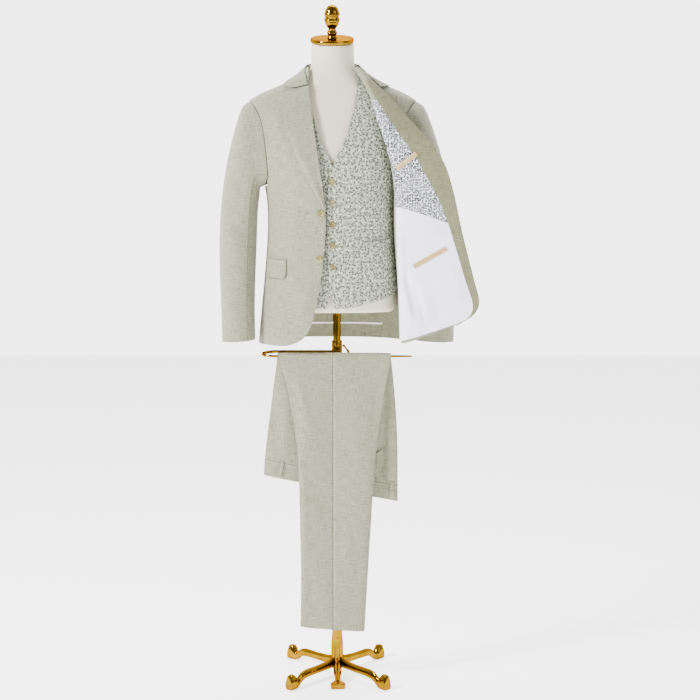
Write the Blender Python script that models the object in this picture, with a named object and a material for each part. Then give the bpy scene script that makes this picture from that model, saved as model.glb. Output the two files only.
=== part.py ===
"""Three-piece suit on a dress form with a trouser stand.

+Z is up and the front faces -Y, so the wearer's left is +X. Sizes are in
millimetres in the tables and in metres once a mesh is made. The stand's pole is
the middle of the working frame; centre_on_floor() then moves everything so that
the middle of the whole object's box is at X = Y = 0.
"""
import math

import bmesh
import bpy
from mathutils import Matrix, Vector
from mathutils.bvhtree import BVHTree

MM = 0.001

# Driving dimensions, in millimetres
AXIS_X = -10.0             # middle of the form and of the jacket, seen from the pole
JACKET_CLOTH = 2.0         # jacket wall: cloth with its interlining
LAPEL_CLOTH = 2.0
LINING_CLOTH = 1.0
FACING_CLOTH = 1.2
WAISTCOAT_CLOTH = 1.6
TROUSER_CLOTH = 1.2
SEAM_GAP = 0.3             # between two pieces that are sewn together
SHOULDER_Z = 1507.0        # shoulder point, the top of the armhole
NECK_Z = 1593.0            # where the shoulder seam meets the collar
ARMHOLE_BOTTOM_Z = 1292.0
FRONT_SEAM_ANGLE = 72.0    # degrees from the centre front to the front's side seam
BACK_SEAM_ANGLE = 112.0
POLE_RADIUS = 10.4
TUBE_RADIUS = 12.5
TUBE_BORE = 10.8
CLAMP_Z = (849.0, 890.0)
FORM_BOTTOM_Z = 966.0
NECK_TILT = math.radians(13.0)

# Colours, roughness and metallic value of each finish
FINISHES = {
    "cloth": ((0.56, 0.57, 0.48), 0.9, 0.0),
    "lining": ((0.80, 0.80, 0.86), 0.5, 0.0),
    "printed": ((0.62, 0.62, 0.66), 0.5, 0.0),
    "waistcoat": ((0.55, 0.60, 0.52), 0.8, 0.0),
    "tan": ((0.73, 0.55, 0.34), 0.6, 0.0),
    "horn": ((0.60, 0.47, 0.25), 0.35, 0.0),
    "form": ((0.74, 0.70, 0.62), 0.6, 0.0),
    "brass": ((0.80, 0.55, 0.15), 0.2, 1.0),
}

# Plan sections: height, half width, depth to the front and to the back, roundness
JACKET = [
    # z,     half,  front, back, power
    (880.0, 194.5, 118.0, 124.0, 2.3),
    (960.0, 187.0, 122.0, 122.0, 2.3),
    (1040.0, 179.0, 122.0, 118.0, 2.3),
    (1100.0, 173.0, 120.0, 112.0, 2.3),
    (1190.0, 166.5, 118.0, 106.0, 2.3),
    (1255.0, 169.5, 122.0, 110.0, 2.3),
    (1330.0, 184.0, 128.0, 118.0, 2.4),
    (1400.0, 197.0, 124.0, 120.0, 2.4),
    (1450.0, 206.0, 112.0, 116.0, 2.4),
    (1480.0, 212.0, 98.0, 108.0, 2.3),
    (1507.0, 214.0, 82.0, 96.0, 2.2),
    (1520.0, 200.0, 74.0, 88.0, 2.2),
    (1535.0, 162.0, 69.0, 80.0, 2.2),
    (1550.0, 124.0, 66.0, 74.0, 2.2),
    (1570.0, 88.0, 62.0, 68.0, 2.2),
    (1593.0, 66.0, 58.0, 62.0, 2.2),
]
WAISTCOAT = [
    (970.0, 173.0, 107.0, 106.0, 2.3),
    (1030.0, 172.0, 108.0, 104.0, 2.3),
    (1100.0, 165.0, 107.0, 99.0, 2.3),
    (1190.0, 158.5, 105.0, 94.0, 2.3),
    (1255.0, 160.0, 110.0, 98.0, 2.3),
    (1330.0, 166.0, 116.0, 105.0, 2.3),
    (1400.0, 172.0, 113.0, 107.0, 2.3),
    (1450.0, 180.0, 102.0, 104.0, 2.3),
    (1490.0, 185.0, 86.0, 95.0, 2.3),
    (1515.0, 178.0, 73.0, 85.0, 2.2),
    (1531.5, 158.0, 65.5, 77.0, 2.2),
    (1546.5, 122.0, 62.0, 70.0, 2.2),
    (1566.0, 86.5, 58.5, 64.0, 2.2),
    (1588.0, 65.5, 54.5, 58.0, 2.2),
]
FORM = [
    (FORM_BOTTOM_Z, 150.0, 80.0, 84.0, 2.3),
    (970.0, 160.0, 91.0, 93.0, 2.3),
    (990.0, 165.5, 99.0, 98.0, 2.3),
    (1030.0, 166.0, 102.0, 98.0, 2.3),
    (1100.0, 158.5, 101.0, 93.0, 2.3),
    (1190.0, 152.0, 99.0, 88.0, 2.3),
    (1255.0, 153.5, 104.0, 92.0, 2.3),
    (1330.0, 159.5, 110.0, 99.0, 2.3),
    (1400.0, 165.0, 107.0, 101.0, 2.3),
    (1450.0, 171.0, 96.0, 98.0, 2.3),
    (1480.0, 178.0, 83.0, 91.0, 2.3),
    (1500.0, 179.0, 75.0, 84.0, 2.3),
    (1520.0, 170.0, 65.5, 74.5, 2.2),
    (1533.8, 158.0, 57.5, 65.0, 2.2),
    (1541.0, 122.0, 55.0, 62.5, 2.2),
    (1558.5, 83.0, 52.5, 58.0, 2.2),
    (1580.0, 60.0, 49.5, 52.0, 2.1),
    (1600.0, 54.6, 51.0, 52.0, 2.0),
    (1654.0, 54.6, 54.6, 54.6, 2.0),
]


# ---------------------------------------------------------------- helpers
def mix(first, second, share):
    """The value, or tuple of values, a share of the way from first to second."""
    if isinstance(first, (tuple, list)):
        return tuple(a + (b - a) * share for a, b in zip(first, second))
    return first + (second - first) * share


def smooth_row(table, place):
    """A row of a table at a place in its first column, on a smooth curve."""
    place = min(max(place, table[0][0]), table[-1][0])
    last = len(table) - 2
    index = 0
    while index < last and table[index + 1][0] < place:
        index += 1
    start, end = table[index], table[index + 1]
    before = table[max(index - 1, 0)]
    after = table[min(index + 2, len(table) - 1)]
    span = end[0] - start[0]
    t = (place - start[0]) / span
    values = []
    for column in range(1, len(start)):
        slope_in = (end[column] - before[column]) / (end[0] - before[0]) * span
        slope_out = (after[column] - start[column]) / (after[0] - start[0]) * span
        limit = 3.0 * (end[column] - start[column])
        slope_in = min(max(slope_in, min(0.0, limit)), max(0.0, limit))
        slope_out = min(max(slope_out, min(0.0, limit)), max(0.0, limit))
        values.append((2 * t**3 - 3 * t**2 + 1) * start[column] + (t**3 - 2 * t**2 + t) * slope_in
                      + (3 * t**2 - 2 * t**3) * end[column] + (t**3 - t**2) * slope_out)
    return values


def skin(table, z, angle, out=0.0):
    """A point on a plan section. The angle is 0 in front and 90 at the wearer's left."""
    half, front, back, power = smooth_row(table, z)
    turn = math.radians(angle)
    across, ahead = math.sin(turn), math.cos(turn)
    depth = front if ahead > 0 else back
    x = (half + out) * math.copysign(abs(across) ** (2 / power), across)
    y = (depth + out) * math.copysign(abs(ahead) ** (2 / power), ahead)
    return Vector((AXIS_X + x, -y, z))


def skin_normal(table, z, angle):
    """The direction straight out of a section's surface."""
    around = skin(table, z, angle + 1.0) - skin(table, z, angle - 1.0)
    rise = skin(table, z + 2.0, angle) - skin(table, z - 2.0, angle)
    return around.cross(rise).normalized()


def angle_at_x(table, z, x):
    """The angle at which the front of a section reaches x."""
    half, _front, _back, power = smooth_row(table, z)
    share = min(abs(x - AXIS_X) / half, 1.0)
    return math.copysign(math.degrees(math.asin(share ** (power / 2))), x - AXIS_X)


def angle_at_y(table, z, y, side):
    """The angle at which one side of a section (-1 right, 1 left) reaches y."""
    _half, front, back, power = smooth_row(table, z)
    depth = front if y < 0 else back
    share = min(abs(y) / depth, 1.0) ** (power / 2)
    angle = math.degrees(math.acos(share))
    return side * (angle if y < 0 else 180.0 - angle)


def finish(name):
    """The material of one finish, made once."""
    material = bpy.data.materials.get(name)
    if material is None:
        colour, roughness, metallic = FINISHES[name]
        material = bpy.data.materials.new(name)
        material.use_nodes = True
        shader = material.node_tree.nodes["Principled BSDF"]
        shader.inputs["Base Color"].default_value = (*colour, 1.0)
        shader.inputs["Roughness"].default_value = roughness
        shader.inputs["Metallic"].default_value = metallic
    return material


def solid(name, points, faces, look, smooth=30.0):
    """A named object from points in millimetres; its faces are turned outwards."""
    mesh = bpy.data.meshes.new(name)
    shape = bmesh.new()
    corners = [shape.verts.new(Vector(point) * MM) for point in points]
    for face in faces:
        shape.faces.new([corners[index] for index in face])
    bmesh.ops.recalc_face_normals(shape, faces=shape.faces)
    if shape.calc_volume(signed=True) < 0:
        bmesh.ops.reverse_faces(shape, faces=shape.faces)
    bmesh.ops.triangulate(shape, faces=shape.faces)
    shape.to_mesh(mesh)
    shape.free()
    mesh.shade_smooth()
    mesh.set_sharp_from_angle(angle=math.radians(smooth))
    mesh.materials.append(finish(look))
    piece = bpy.data.objects.new(name, mesh)
    bpy.context.scene.collection.objects.link(piece)
    return piece


def slope(line, index):
    """The direction of a line of points at one of them, also true at its two ends."""
    if len(line) < 3:
        return line[-1] - line[0]
    if index == 0:
        return 4 * line[1] - 3 * line[0] - line[2]
    if index == len(line) - 1:
        return 3 * line[-1] - 4 * line[-2] + line[-3]
    return line[index + 1] - line[index - 1]


def normals(grid):
    """The unit normal at each point of a grid, from its neighbours."""
    ups = [[row[c] for row in grid] for c in range(len(grid[0]))]
    return [[slope(grid[r], c).cross(slope(ups[c], r)).normalized() for c in range(len(ups))]
            for r in range(len(grid))]


def moved_out(grid, distance):
    """The grid moved along its normals."""
    return [[point + normal * distance for point, normal in zip(line, turns)]
            for line, turns in zip(grid, normals(grid))]


def outward(grid, centres=None):
    """The grid with its columns turned so that its normals leave the given middles."""
    total = 0.0
    for r, (line, turns) in enumerate(zip(grid, normals(grid))):
        for point, normal in zip(line, turns):
            middle = centres[r] if centres else Vector((AXIS_X, 0.0, point.z))
            total += normal.dot(point - middle)
    return grid if total > 0 else [line[::-1] for line in grid]


def between(name, outer, inner, look):
    """A closed wall between two grids of the same size."""
    rows, columns = len(outer), len(outer[0])
    points = [p for line in outer for p in line] + [p for line in inner for p in line]
    half = rows * columns
    faces = []
    for r in range(rows - 1):
        for c in range(columns - 1):
            a, b = r * columns + c, r * columns + c + 1
            d, e = a + columns, b + columns
            faces.append((a, b, e, d))
            faces.append((half + a, half + d, half + e, half + b))
    rim = [c for c in range(columns)]
    rim += [r * columns + columns - 1 for r in range(1, rows)]
    rim += [(rows - 1) * columns + c for c in range(columns - 2, -1, -1)]
    rim += [r * columns for r in range(rows - 2, 0, -1)]
    for first, second in zip(rim, rim[1:] + rim[:1]):
        faces.append((first, half + first, half + second, second))
    return solid(name, points, faces, look)


def wall(name, grid, thickness, look, lift=0.0):
    """A wall of even thickness whose outer side is the grid, moved out by lift."""
    outer = moved_out(grid, lift) if lift else grid
    return between(name, outer, moved_out(grid, lift - thickness), look)


def turned(name, profile, look, sides=20, centre=(0.0, 0.0, 0.0), tilt=0.0):
    """A solid of revolution from (radius, height) pairs, bottom to top."""
    points, faces = [], []
    place = Matrix.Translation(Vector(centre)) @ Matrix.Rotation(tilt, 4, "X")
    for radius, height in profile:
        for i in range(sides):
            turn = 2 * math.pi * i / sides
            spot = Vector((radius * math.cos(turn), radius * math.sin(turn), height))
            points.append(place @ spot)
    for r in range(len(profile) - 1):
        for i in range(sides):
            j = (i + 1) % sides
            faces.append((r * sides + i, r * sides + j, (r + 1) * sides + j, (r + 1) * sides + i))
    faces.append(tuple(range(sides)))
    top = (len(profile) - 1) * sides
    faces.append(tuple(top + i for i in range(sides)))
    return solid(name, points, faces, look)


def tube(name, low, high, outer, bore, look, sides=20):
    """A straight open tube about the pole's axis."""
    points, faces = [], []
    for radius, z in ((outer, low), (outer, high), (bore, high), (bore, low)):
        for i in range(sides):
            turn = 2 * math.pi * i / sides
            points.append((radius * math.cos(turn), radius * math.sin(turn), z))
    for ring in range(4):
        for i in range(sides):
            j = (i + 1) % sides
            nxt = (ring + 1) % 4
            faces.append((ring * sides + i, ring * sides + j, nxt * sides + j, nxt * sides + i))
    return solid(name, points, faces, look)


def swept(name, path, sections, look, sides=8):
    """A rod along a path; sections give its half width and half height at each point."""
    points, faces = [], []
    for i, spot in enumerate(path):
        ahead = path[min(i + 1, len(path) - 1)] - path[max(i - 1, 0)]
        ahead.normalize()
        side = ahead.cross(Vector((0, 0, 1))).normalized()
        if side.length < 0.5:
            side = Vector((0, 1, 0))
        up = side.cross(ahead).normalized()
        wide, high = sections[i]
        for k in range(sides):
            turn = 2 * math.pi * k / sides
            points.append(spot + side * wide * math.cos(turn) + up * high * math.sin(turn))
    for i in range(len(path) - 1):
        for k in range(sides):
            m = (k + 1) % sides
            faces.append((i * sides + k, i * sides + m, (i + 1) * sides + m, (i + 1) * sides + k))
    faces.append(tuple(range(sides)))
    last = (len(path) - 1) * sides
    faces.append(tuple(last + k for k in range(sides)))
    return solid(name, points, faces, look)


def surface(grid):
    """A panel's surface that other pieces are dropped onto from the front."""
    columns = len(grid[0])
    points = [p for line in grid for p in line]
    faces = []
    for r in range(len(grid) - 1):
        for c in range(columns - 1):
            a = r * columns + c
            faces.append((a, a + 1, a + columns + 1))
            faces.append((a, a + columns + 1, a + columns))
    return BVHTree.FromPolygons(points, faces)


RAY_START_Y = -900.0
RAY_NUDGES = (0.0, 0.08, -0.08)


def hit(panel, x, z):
    """Where a straight look from the front meets a panel, and the panel's normal there."""
    for nudge in RAY_NUDGES:
        start = Vector((x + nudge, RAY_START_Y, z + nudge))
        spot, normal, _face, _distance = panel.ray_cast(start, Vector((0, 1, 0)))
        if spot is not None:
            break
    if spot is None:
        spot, normal, _face, _distance = panel.find_nearest(Vector((x, -140.0, z)))
    return spot, -normal if normal.y > 0 else normal


def drop(panel, x, z, out=0.0):
    """The point of a panel behind (x, z), moved out towards the front."""
    spot, normal = hit(panel, x, z)
    return spot + normal * out


# ---------------------------------------------------------------- jacket
# The right front's edge: height and x. Above the break it is the lapel's roll line.
RIGHT_EDGE = [
    (887.0, -128.0), (897.0, -93.0), (920.0, -71.0), (977.0, -52.0), (1066.0, -37.0),
    (1163.0, -28.0), (1235.0, -26.0), (1291.0, -35.0), (1320.0, -39.5), (1370.0, -47.0),
    (1440.0, -57.0),
    (1480.0, -62.5), (1507.0, -67.0), (1525.0, -68.5), (1550.0, -70.0), (1570.0, -70.8),
    (1590.0, -71.5),
]
ARMHOLE = {"middle_y": 4.0, "half_depth": 79.0, "top_power": 2.2, "bottom_power": 4.0}


def armhole_y(z, side):
    """The armhole's front (-1) or back (1) y at a height."""
    middle = (SHOULDER_Z + ARMHOLE_BOTTOM_Z) / 2
    half = (SHOULDER_Z - ARMHOLE_BOTTOM_Z) / 2
    power = ARMHOLE["top_power"] if z > middle else ARMHOLE["bottom_power"]
    share = max(0.0, 1.0 - abs((z - middle) / half) ** power)
    return ARMHOLE["middle_y"] + side * ARMHOLE["half_depth"] * share ** (1 / power)


def front_side_angle(z, side):
    """The angle of a front panel's outer edge: side seam, armhole, then shoulder seam."""
    if z >= SHOULDER_Z:
        return side * 89.8
    if z <= ARMHOLE_BOTTOM_Z:
        return side * FRONT_SEAM_ANGLE
    return side * abs(angle_at_y(JACKET, z, armhole_y(z, -1), side))


def back_side_angle(z, side):
    """The angle of a back panel's outer edge."""
    if z >= SHOULDER_Z:
        return side * 90.2
    if z <= ARMHOLE_BOTTOM_Z:
        return side * BACK_SEAM_ANGLE
    armhole = abs(angle_at_y(JACKET, z, armhole_y(z, 1), side))
    return side * max(armhole, 90.2)


def jacket_front_grid(side, edges, columns=8):
    """A front panel worn closed: rows at the edge table's heights."""
    grid = []
    for z, x in edges:
        inner = angle_at_x(JACKET, z, x)
        outer = front_side_angle(z, side)
        grid.append([skin(JACKET, z, mix(outer, inner, c / (columns - 1))) for c in range(columns)])
    return grid


# Below the armholes the back and the side panels share their heights.
SKIRT_HEIGHTS = [887.0, 925.0, 970.0, 1080.0, 1190.0]
BACK_HEIGHTS = SKIRT_HEIGHTS + [1255.0, 1292.0, 1330.0, 1375.0, 1420.0, 1465.0, 1490.0,
                                1507.0, 1525.0, 1550.0, 1567.0, 1588.0]
SIDE_HEIGHTS = SKIRT_HEIGHTS + [1255.0, 1289.0]
PANEL_COLUMNS = 6
CENTRE_BACK_ANGLE = 179.9
SIDE_GAP_ANGLE = 0.12


def across(start, end, count):
    """Evenly spaced numbers from start to end, both included."""
    return [mix(start, end, step / (count - 1)) for step in range(count)]


def make_backs():
    """Two back panels with a seam down the centre back."""
    for side, name in ((-1, "right"), (1, "left")):
        grid = []
        for z in BACK_HEIGHTS:
            angles = across(side * CENTRE_BACK_ANGLE, back_side_angle(z, side), PANEL_COLUMNS)
            grid.append([skin(JACKET, z, angle) for angle in angles])
        wall("jacket_back_" + name, outward(grid), JACKET_CLOTH, "cloth")


def make_sides():
    """The side bodies, from the front's side seam to the back's, under the armholes."""
    for side, name in ((-1, "right"), (1, "left")):
        angles = across(FRONT_SEAM_ANGLE + SIDE_GAP_ANGLE, BACK_SEAM_ANGLE - SIDE_GAP_ANGLE,
                        PANEL_COLUMNS)
        grid = [[skin(JACKET, z, side * angle) for angle in angles] for z in SIDE_HEIGHTS]
        wall("jacket_side_" + name, outward(grid), JACKET_CLOTH, "cloth")


# Sleeve sections of the right sleeve: the outer and the inner point of each ring
# (x, z), the middle y, the half depth and how square its lower half is. The first is
# the sleeve head, which laps the edge of the armhole.
SLEEVE = [
    # outer x,  outer z, inner x, inner z, mid y, half depth, power
    (-228.0, 1508.5, -197.0, 1290.5, 4.0, 80.0, 4.0),
    (-240.0, 1500.5, -197.2, 1284.0, 4.0, 82.0, 3.2),
    (-250.0, 1480.0, -197.8, 1273.0, 3.5, 83.0, 2.6),
    (-262.0, 1437.0, -199.0, 1258.0, 2.0, 82.0, 2.3),
    (-279.0, 1375.0, -201.5, 1238.0, 0.0, 79.0, 2.3),
    (-293.0, 1300.0, -203.5, 1203.0, -3.0, 74.0, 2.3),
    (-302.5, 1205.0, -205.0, 1150.0, -7.0, 69.0, 2.3),
    (-305.0, 1110.0, -207.5, 1090.0, -12.0, 65.0, 2.3),
    (-299.5, 1000.0, -211.5, 990.0, -24.0, 60.5, 2.3),
    (-296.6, 893.0, -209.0, 899.0, -38.0, 56.0, 2.3),
]
HEAD_OUT = 2.7              # the sleeve head's edge stands this far outside the armhole
# The left sleeve stands further out, by these amounts once it is a drop below the shoulder
LEFT_SLEEVE_OUT = {"outer": 26.0, "inner": 3.0, "drop": 500.0, "power": 0.7}
SLEEVE_SEAMS = (-122.0, 128.0)   # the two sleeve seams, in degrees round a ring
SLEEVE_SEAM_HALF = 0.5           # half the gap at each of them, in degrees
SLEEVE_COLUMNS = {"top": 11, "under": 6}


def sleeve_point(row, turn, side, inset=0.0):
    """A point of a sleeve ring: 0 degrees is its outer side, 90 is its back."""
    outer_x, outer_z, inner_x, inner_z, middle_y, half_depth, low_power = row
    if side > 0:
        share = min(1.0, max(0.0, SHOULDER_Z - outer_z) / LEFT_SLEEVE_OUT["drop"])
        outer_x -= LEFT_SLEEVE_OUT["outer"] * share ** LEFT_SLEEVE_OUT["power"]
        inner_x -= LEFT_SLEEVE_OUT["inner"] * share
    first = Vector((outer_x, 0, outer_z))
    second = Vector((inner_x, 0, inner_z))
    reach = (first - second) / 2
    cosine, sine = math.cos(math.radians(turn)), math.sin(math.radians(turn))
    power = 2 / (ARMHOLE["top_power"] if cosine > 0 else low_power)
    along = math.copysign(abs(cosine) ** power, cosine) * (1 - inset / reach.length)
    depth = math.copysign(abs(sine) ** power, sine) * (half_depth - inset)
    spot = (first + second) / 2 + reach * along
    spot.y = middle_y + depth
    if side > 0:
        spot.x = 2 * AXIS_X - spot.x
    return spot


def armhole_ring_point(turn, side, inset=0.0):
    """The sleeve's first ring, on the body's surface just outside the armhole."""
    spot = sleeve_point(SLEEVE[0], turn, side, inset)
    angle = angle_at_y(JACKET, spot.z, spot.y, side)
    spot.x = skin(JACKET, spot.z, angle).x + side * HEAD_OUT
    return spot


def make_sleeves():
    """Each sleeve is a top sleeve and an under sleeve, open at the armhole and the cuff."""
    near = SLEEVE_SEAM_HALF
    parts = (("top", SLEEVE_SEAMS[0] + near, SLEEVE_SEAMS[1] - near),
             ("under", SLEEVE_SEAMS[1] + near, SLEEVE_SEAMS[0] + 360.0 - near))
    for side, name in ((-1, "right"), (1, "left")):
        for part, start, end in parts:
            turns = across(start, end, SLEEVE_COLUMNS[part])
            outer = [[armhole_ring_point(turn, side) for turn in turns]]
            inner = [[armhole_ring_point(turn, side, JACKET_CLOTH) for turn in turns]]
            for row in SLEEVE[1:]:
                outer.append([sleeve_point(row, turn, side) for turn in turns])
                inner.append([sleeve_point(row, turn, side, JACKET_CLOTH) for turn in turns])
            between(f"sleeve_{part}_{name}", outer, inner, "cloth")


# The turned-back left front, a row for each level from the hem up: the height at the
# side seam, the angle at which it leaves the chest, the x of its fold, the y of the page
# just after the fold, the free edge (or roll line) and the facing's width behind it.
TURNED_FRONT = [
    # z,     angle, fold x, page y, edge x, edge y, edge z, facing
    (893.0, 68.0, 166.0, -103.0, 305.0, -113.0, 945.0, 6.0),
    (908.0, 68.0, 165.0, -103.0, 343.0, -114.0, 965.0, 10.0),
    (935.0, 68.0, 164.0, -103.0, 357.0, -114.0, 979.0, 13.0),
    (975.0, 68.0, 163.0, -102.0, 363.5, -114.0, 1003.0, 18.0),
    (1040.0, 68.0, 160.0, -99.0, 351.0, -112.0, 1042.0, 22.0),
    (1105.0, 68.0, 157.0, -96.0, 340.0, -109.5, 1087.0, 25.0),
    (1175.0, 68.0, 154.0, -94.0, 327.0, -107.5, 1136.0, 29.0),
    (1240.0, 66.0, 153.0, -96.0, 314.0, -107.0, 1187.0, 35.0),
    (1290.5, 60.0, 151.0, -100.0, 299.0, -108.0, 1262.0, 48.0),
    (1320.0, 53.0, 147.0, -105.0, 284.0, -109.0, 1316.0, 60.0),
    (1360.0, 47.0, 138.0, -110.0, 268.0, -110.0, 1360.0, 66.0),
    (1415.0, 38.0, 121.0, -111.0, 225.0, -109.0, 1414.0, 62.0),
    (1465.0, 32.0, 101.0, -104.0, 177.0, -94.0, 1463.0, 52.0),
    (1490.0, 31.0, 94.0, -94.0, 154.0, -85.0, 1489.0, 45.0),
    (1507.0, 31.0, 89.0, -86.0, 138.0, -78.0, 1506.0, 41.0),
    (1530.0, 34.0, 79.0, -75.0, 115.0, -67.0, 1529.0, 33.0),
    (1556.0, 44.0, 66.0, -62.0, 90.0, -54.0, 1553.0, 20.0),
    (1590.0, 62.0, 44.0, -42.0, 64.0, -38.0, 1588.0, 8.0),
]
FOLD_COLUMN = 4             # the grid's column that lies along the fold
PAGE_COLUMNS = 8
CURVE_STEPS = 8             # fine steps on each stretch of a smooth curve
FOLD = {"seam_gap": 0.15, "lift": 0.6, "long_chest": 30.0, "past": 7.0, "bow": 5.0,
        "rise_power": 1.15}


def smooth_path(path):
    """A fine smooth curve through the path, eight steps to each stretch."""
    fine = []
    for i in range(len(path) - 1):
        before = path[max(i - 1, 0)]
        after = path[min(i + 2, len(path) - 1)]
        start, end = path[i], path[i + 1]
        for k in range(CURVE_STEPS):
            t = k / CURVE_STEPS
            fine.append(0.5 * (2 * start + (end - before) * t
                               + (2 * before - 5 * start + 4 * end - after) * t * t
                               + (3 * start - before - 3 * end + after) * t**3))
    return fine + [path[-1]]


def evenly(fine, count):
    """Points at even steps along a fine curve."""
    lengths = [0.0]
    for first, second in zip(fine, fine[1:]):
        lengths.append(lengths[-1] + (second - first).length)
    points, index = [], 0
    for step in range(count):
        place = lengths[-1] * step / (count - 1)
        while index < len(fine) - 2 and lengths[index + 1] < place:
            index += 1
        span = max(lengths[index + 1] - lengths[index], 1e-9)
        points.append(fine[index].lerp(fine[index + 1], (place - lengths[index]) / span))
    return points


def turned_row(row):
    """One level of the left front: along the chest, round its fold and out to its edge."""
    z, angle, fold_x, page_y, edge_x, edge_y, edge_z, _facing = row
    start = abs(front_side_angle(z, 1)) - FOLD["seam_gap"]
    edge = Vector((edge_x, edge_y, z))
    chest = [skin(JACKET, z, start), skin(JACKET, z, angle, FOLD["lift"])]
    if (chest[1] - chest[0]).length > FOLD["long_chest"]:
        chest[1:1] = [skin(JACKET, z, mix(start, angle, share), FOLD["lift"])
                      for share in (0.33, 0.67)]
    page = Vector((fold_x + FOLD["past"], page_y, z))
    tip = Vector((fold_x, (chest[-1].y + page_y) / 2, z))
    path = chest + [tip, page]
    for share in (0.3, 0.65):
        spot = page.lerp(edge, share)
        spot.y -= FOLD["bow"] * math.sin(math.pi * share)
        path.append(spot)
    path.append(edge)
    fine = smooth_path(path)
    turn = CURVE_STEPS * len(chest)
    past = turn + CURVE_STEPS
    page_curve = evenly(fine[turn:past + 1], 3) + evenly(fine[past:], PAGE_COLUMNS)[1:]
    for point in page_curve:
        share = max(0.0, (point.x - fold_x) / (edge_x - fold_x))
        point.z = mix(z, edge_z, share ** FOLD["rise_power"])
    return evenly(fine[:turn + 1], FOLD_COLUMN + 1) + page_curve[1:]


def place_from_edge(row, width):
    """The place on a row, counted in columns, that lies a width from its free edge."""
    place = len(row) - 1
    while place > FOLD_COLUMN and width > 0:
        step = (row[place] - row[place - 1]).length
        if step >= width:
            return place - width / step
        width -= step
        place -= 1
    return float(place)


def part_of_row(row, start, end, count):
    """Points of a row between two places counted in columns."""
    points = []
    for i in range(count):
        place = min(max(mix(start, end, i / (count - 1)), 0.0), len(row) - 1.0)
        index = min(int(place), len(row) - 2)
        points.append(row[index].lerp(row[index + 1], place - index))
    return points


LINING_LIFT = JACKET_CLOTH + 1.0
LINING_SPLIT_ROW = 7        # the printed lining is above this level, the plain one below
LINING_TOP_ROW = 14
LINING_COLUMNS = 6
FACING_END = 0.04           # columns between the facing and the cloth's own edge
LINING_SEAM = 0.02          # columns on each side of the seam between facing and lining
SHARE_OF_HEM = 0.5          # the lining starts this share of the first row above the hem


def make_turned_front():
    """The left front with its facing, its two linings and what shows of its lapel."""
    cloth = [turned_row(row) for row in TURNED_FRONT]
    columns = len(cloth[0])
    away = Vector((0.0, 1.0, 0.0))
    free = normals(cloth)[4][columns - 3]
    if free.dot(away) < 0:
        cloth = [row[::-1] for row in cloth]
        flipped = True
    else:
        flipped = False
    wall("jacket_front_left", cloth, JACKET_CLOTH, "cloth")
    inside = moved_out(cloth, -LINING_LIFT)
    inside_far = moved_out(cloth, -LINING_LIFT - LINING_CLOTH)
    facing_far = moved_out(cloth, -LINING_LIFT - FACING_CLOTH)
    if flipped:
        inside, inside_far, facing_far = ([row[::-1] for row in grid]
                                          for grid in (inside, inside_far, facing_far))
    last = columns - 1.0
    page = FOLD_COLUMN + 2.0

    def strip(name, rows, spans, count, far, look, from_fold=False):
        near_grid, far_grid = [], []
        for index, (start, end) in zip(rows, spans):
            for grid, source in ((near_grid, inside), (far_grid, far)):
                row = source[index]
                points = part_of_row(row, start, end, count)
                grid.append(row[FOLD_COLUMN:FOLD_COLUMN + 2] + points if from_fold else points)
        between(name, near_grid, far_grid, look)

    edges = [max(page + 0.3, place_from_edge(row, values[7]))
             for row, values in zip(inside, TURNED_FRONT)]
    every = range(len(cloth) - 1)
    strip("jacket_facing_left", every,
          [(edges[i] + LINING_SEAM, last - FACING_END) for i in every], LINING_COLUMNS,
          facing_far, "cloth")
    edges[0] = mix(edges[0], edges[1], SHARE_OF_HEM) - 2 * LINING_SEAM
    for grid in (inside, inside_far):
        grid[0] = [low.lerp(high, SHARE_OF_HEM) for low, high in zip(grid[0], grid[1])]
    for grid in (inside, inside_far):
        grid.insert(LINING_SPLIT_ROW, [p - Vector((0, 0, SEAM_GAP)) for p in grid[LINING_SPLIT_ROW]])
    edges.insert(LINING_SPLIT_ROW, edges[LINING_SPLIT_ROW])
    low = range(0, LINING_SPLIT_ROW + 1)
    strip("jacket_lining_plain", low, [(page, edges[i] - LINING_SEAM) for i in low],
          LINING_COLUMNS, inside_far, "lining", True)
    high = range(LINING_SPLIT_ROW + 1, LINING_TOP_ROW + 2)
    strip("jacket_lining_printed", high, [(page, edges[i] - LINING_SEAM) for i in high],
          LINING_COLUMNS, inside_far, "printed", True)
    return surface(cloth), surface(inside_far)


# Lapel of the right front: height of the row, x of its outer edge, how far it stands off
RIGHT_LAPEL = [
    # z,     roll x, outer x, lift
    (1240.0, -29.5, -33.5, 0.6),
    (1275.0, -32.5, -54.0, 1.2),
    (1320.0, -39.5, -80.0, 1.6),
    (1370.0, -47.0, -103.0, 1.8),
    (1430.0, -55.5, -123.0, 1.8),
    (1480.0, -62.5, -140.0, 1.6),
    (1513.0, -67.5, -151.0, 1.4),
]
LAPEL_TOP = ((-70.0, 1543.0), (-110.0, 1532.5), (-151.0, 1516.0))   # gorge, notch, tip


LAPEL = {"columns": 6, "lift": 0.6, "swell": 2.6, "early": 1.4, "top_lift": 1.4}


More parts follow.
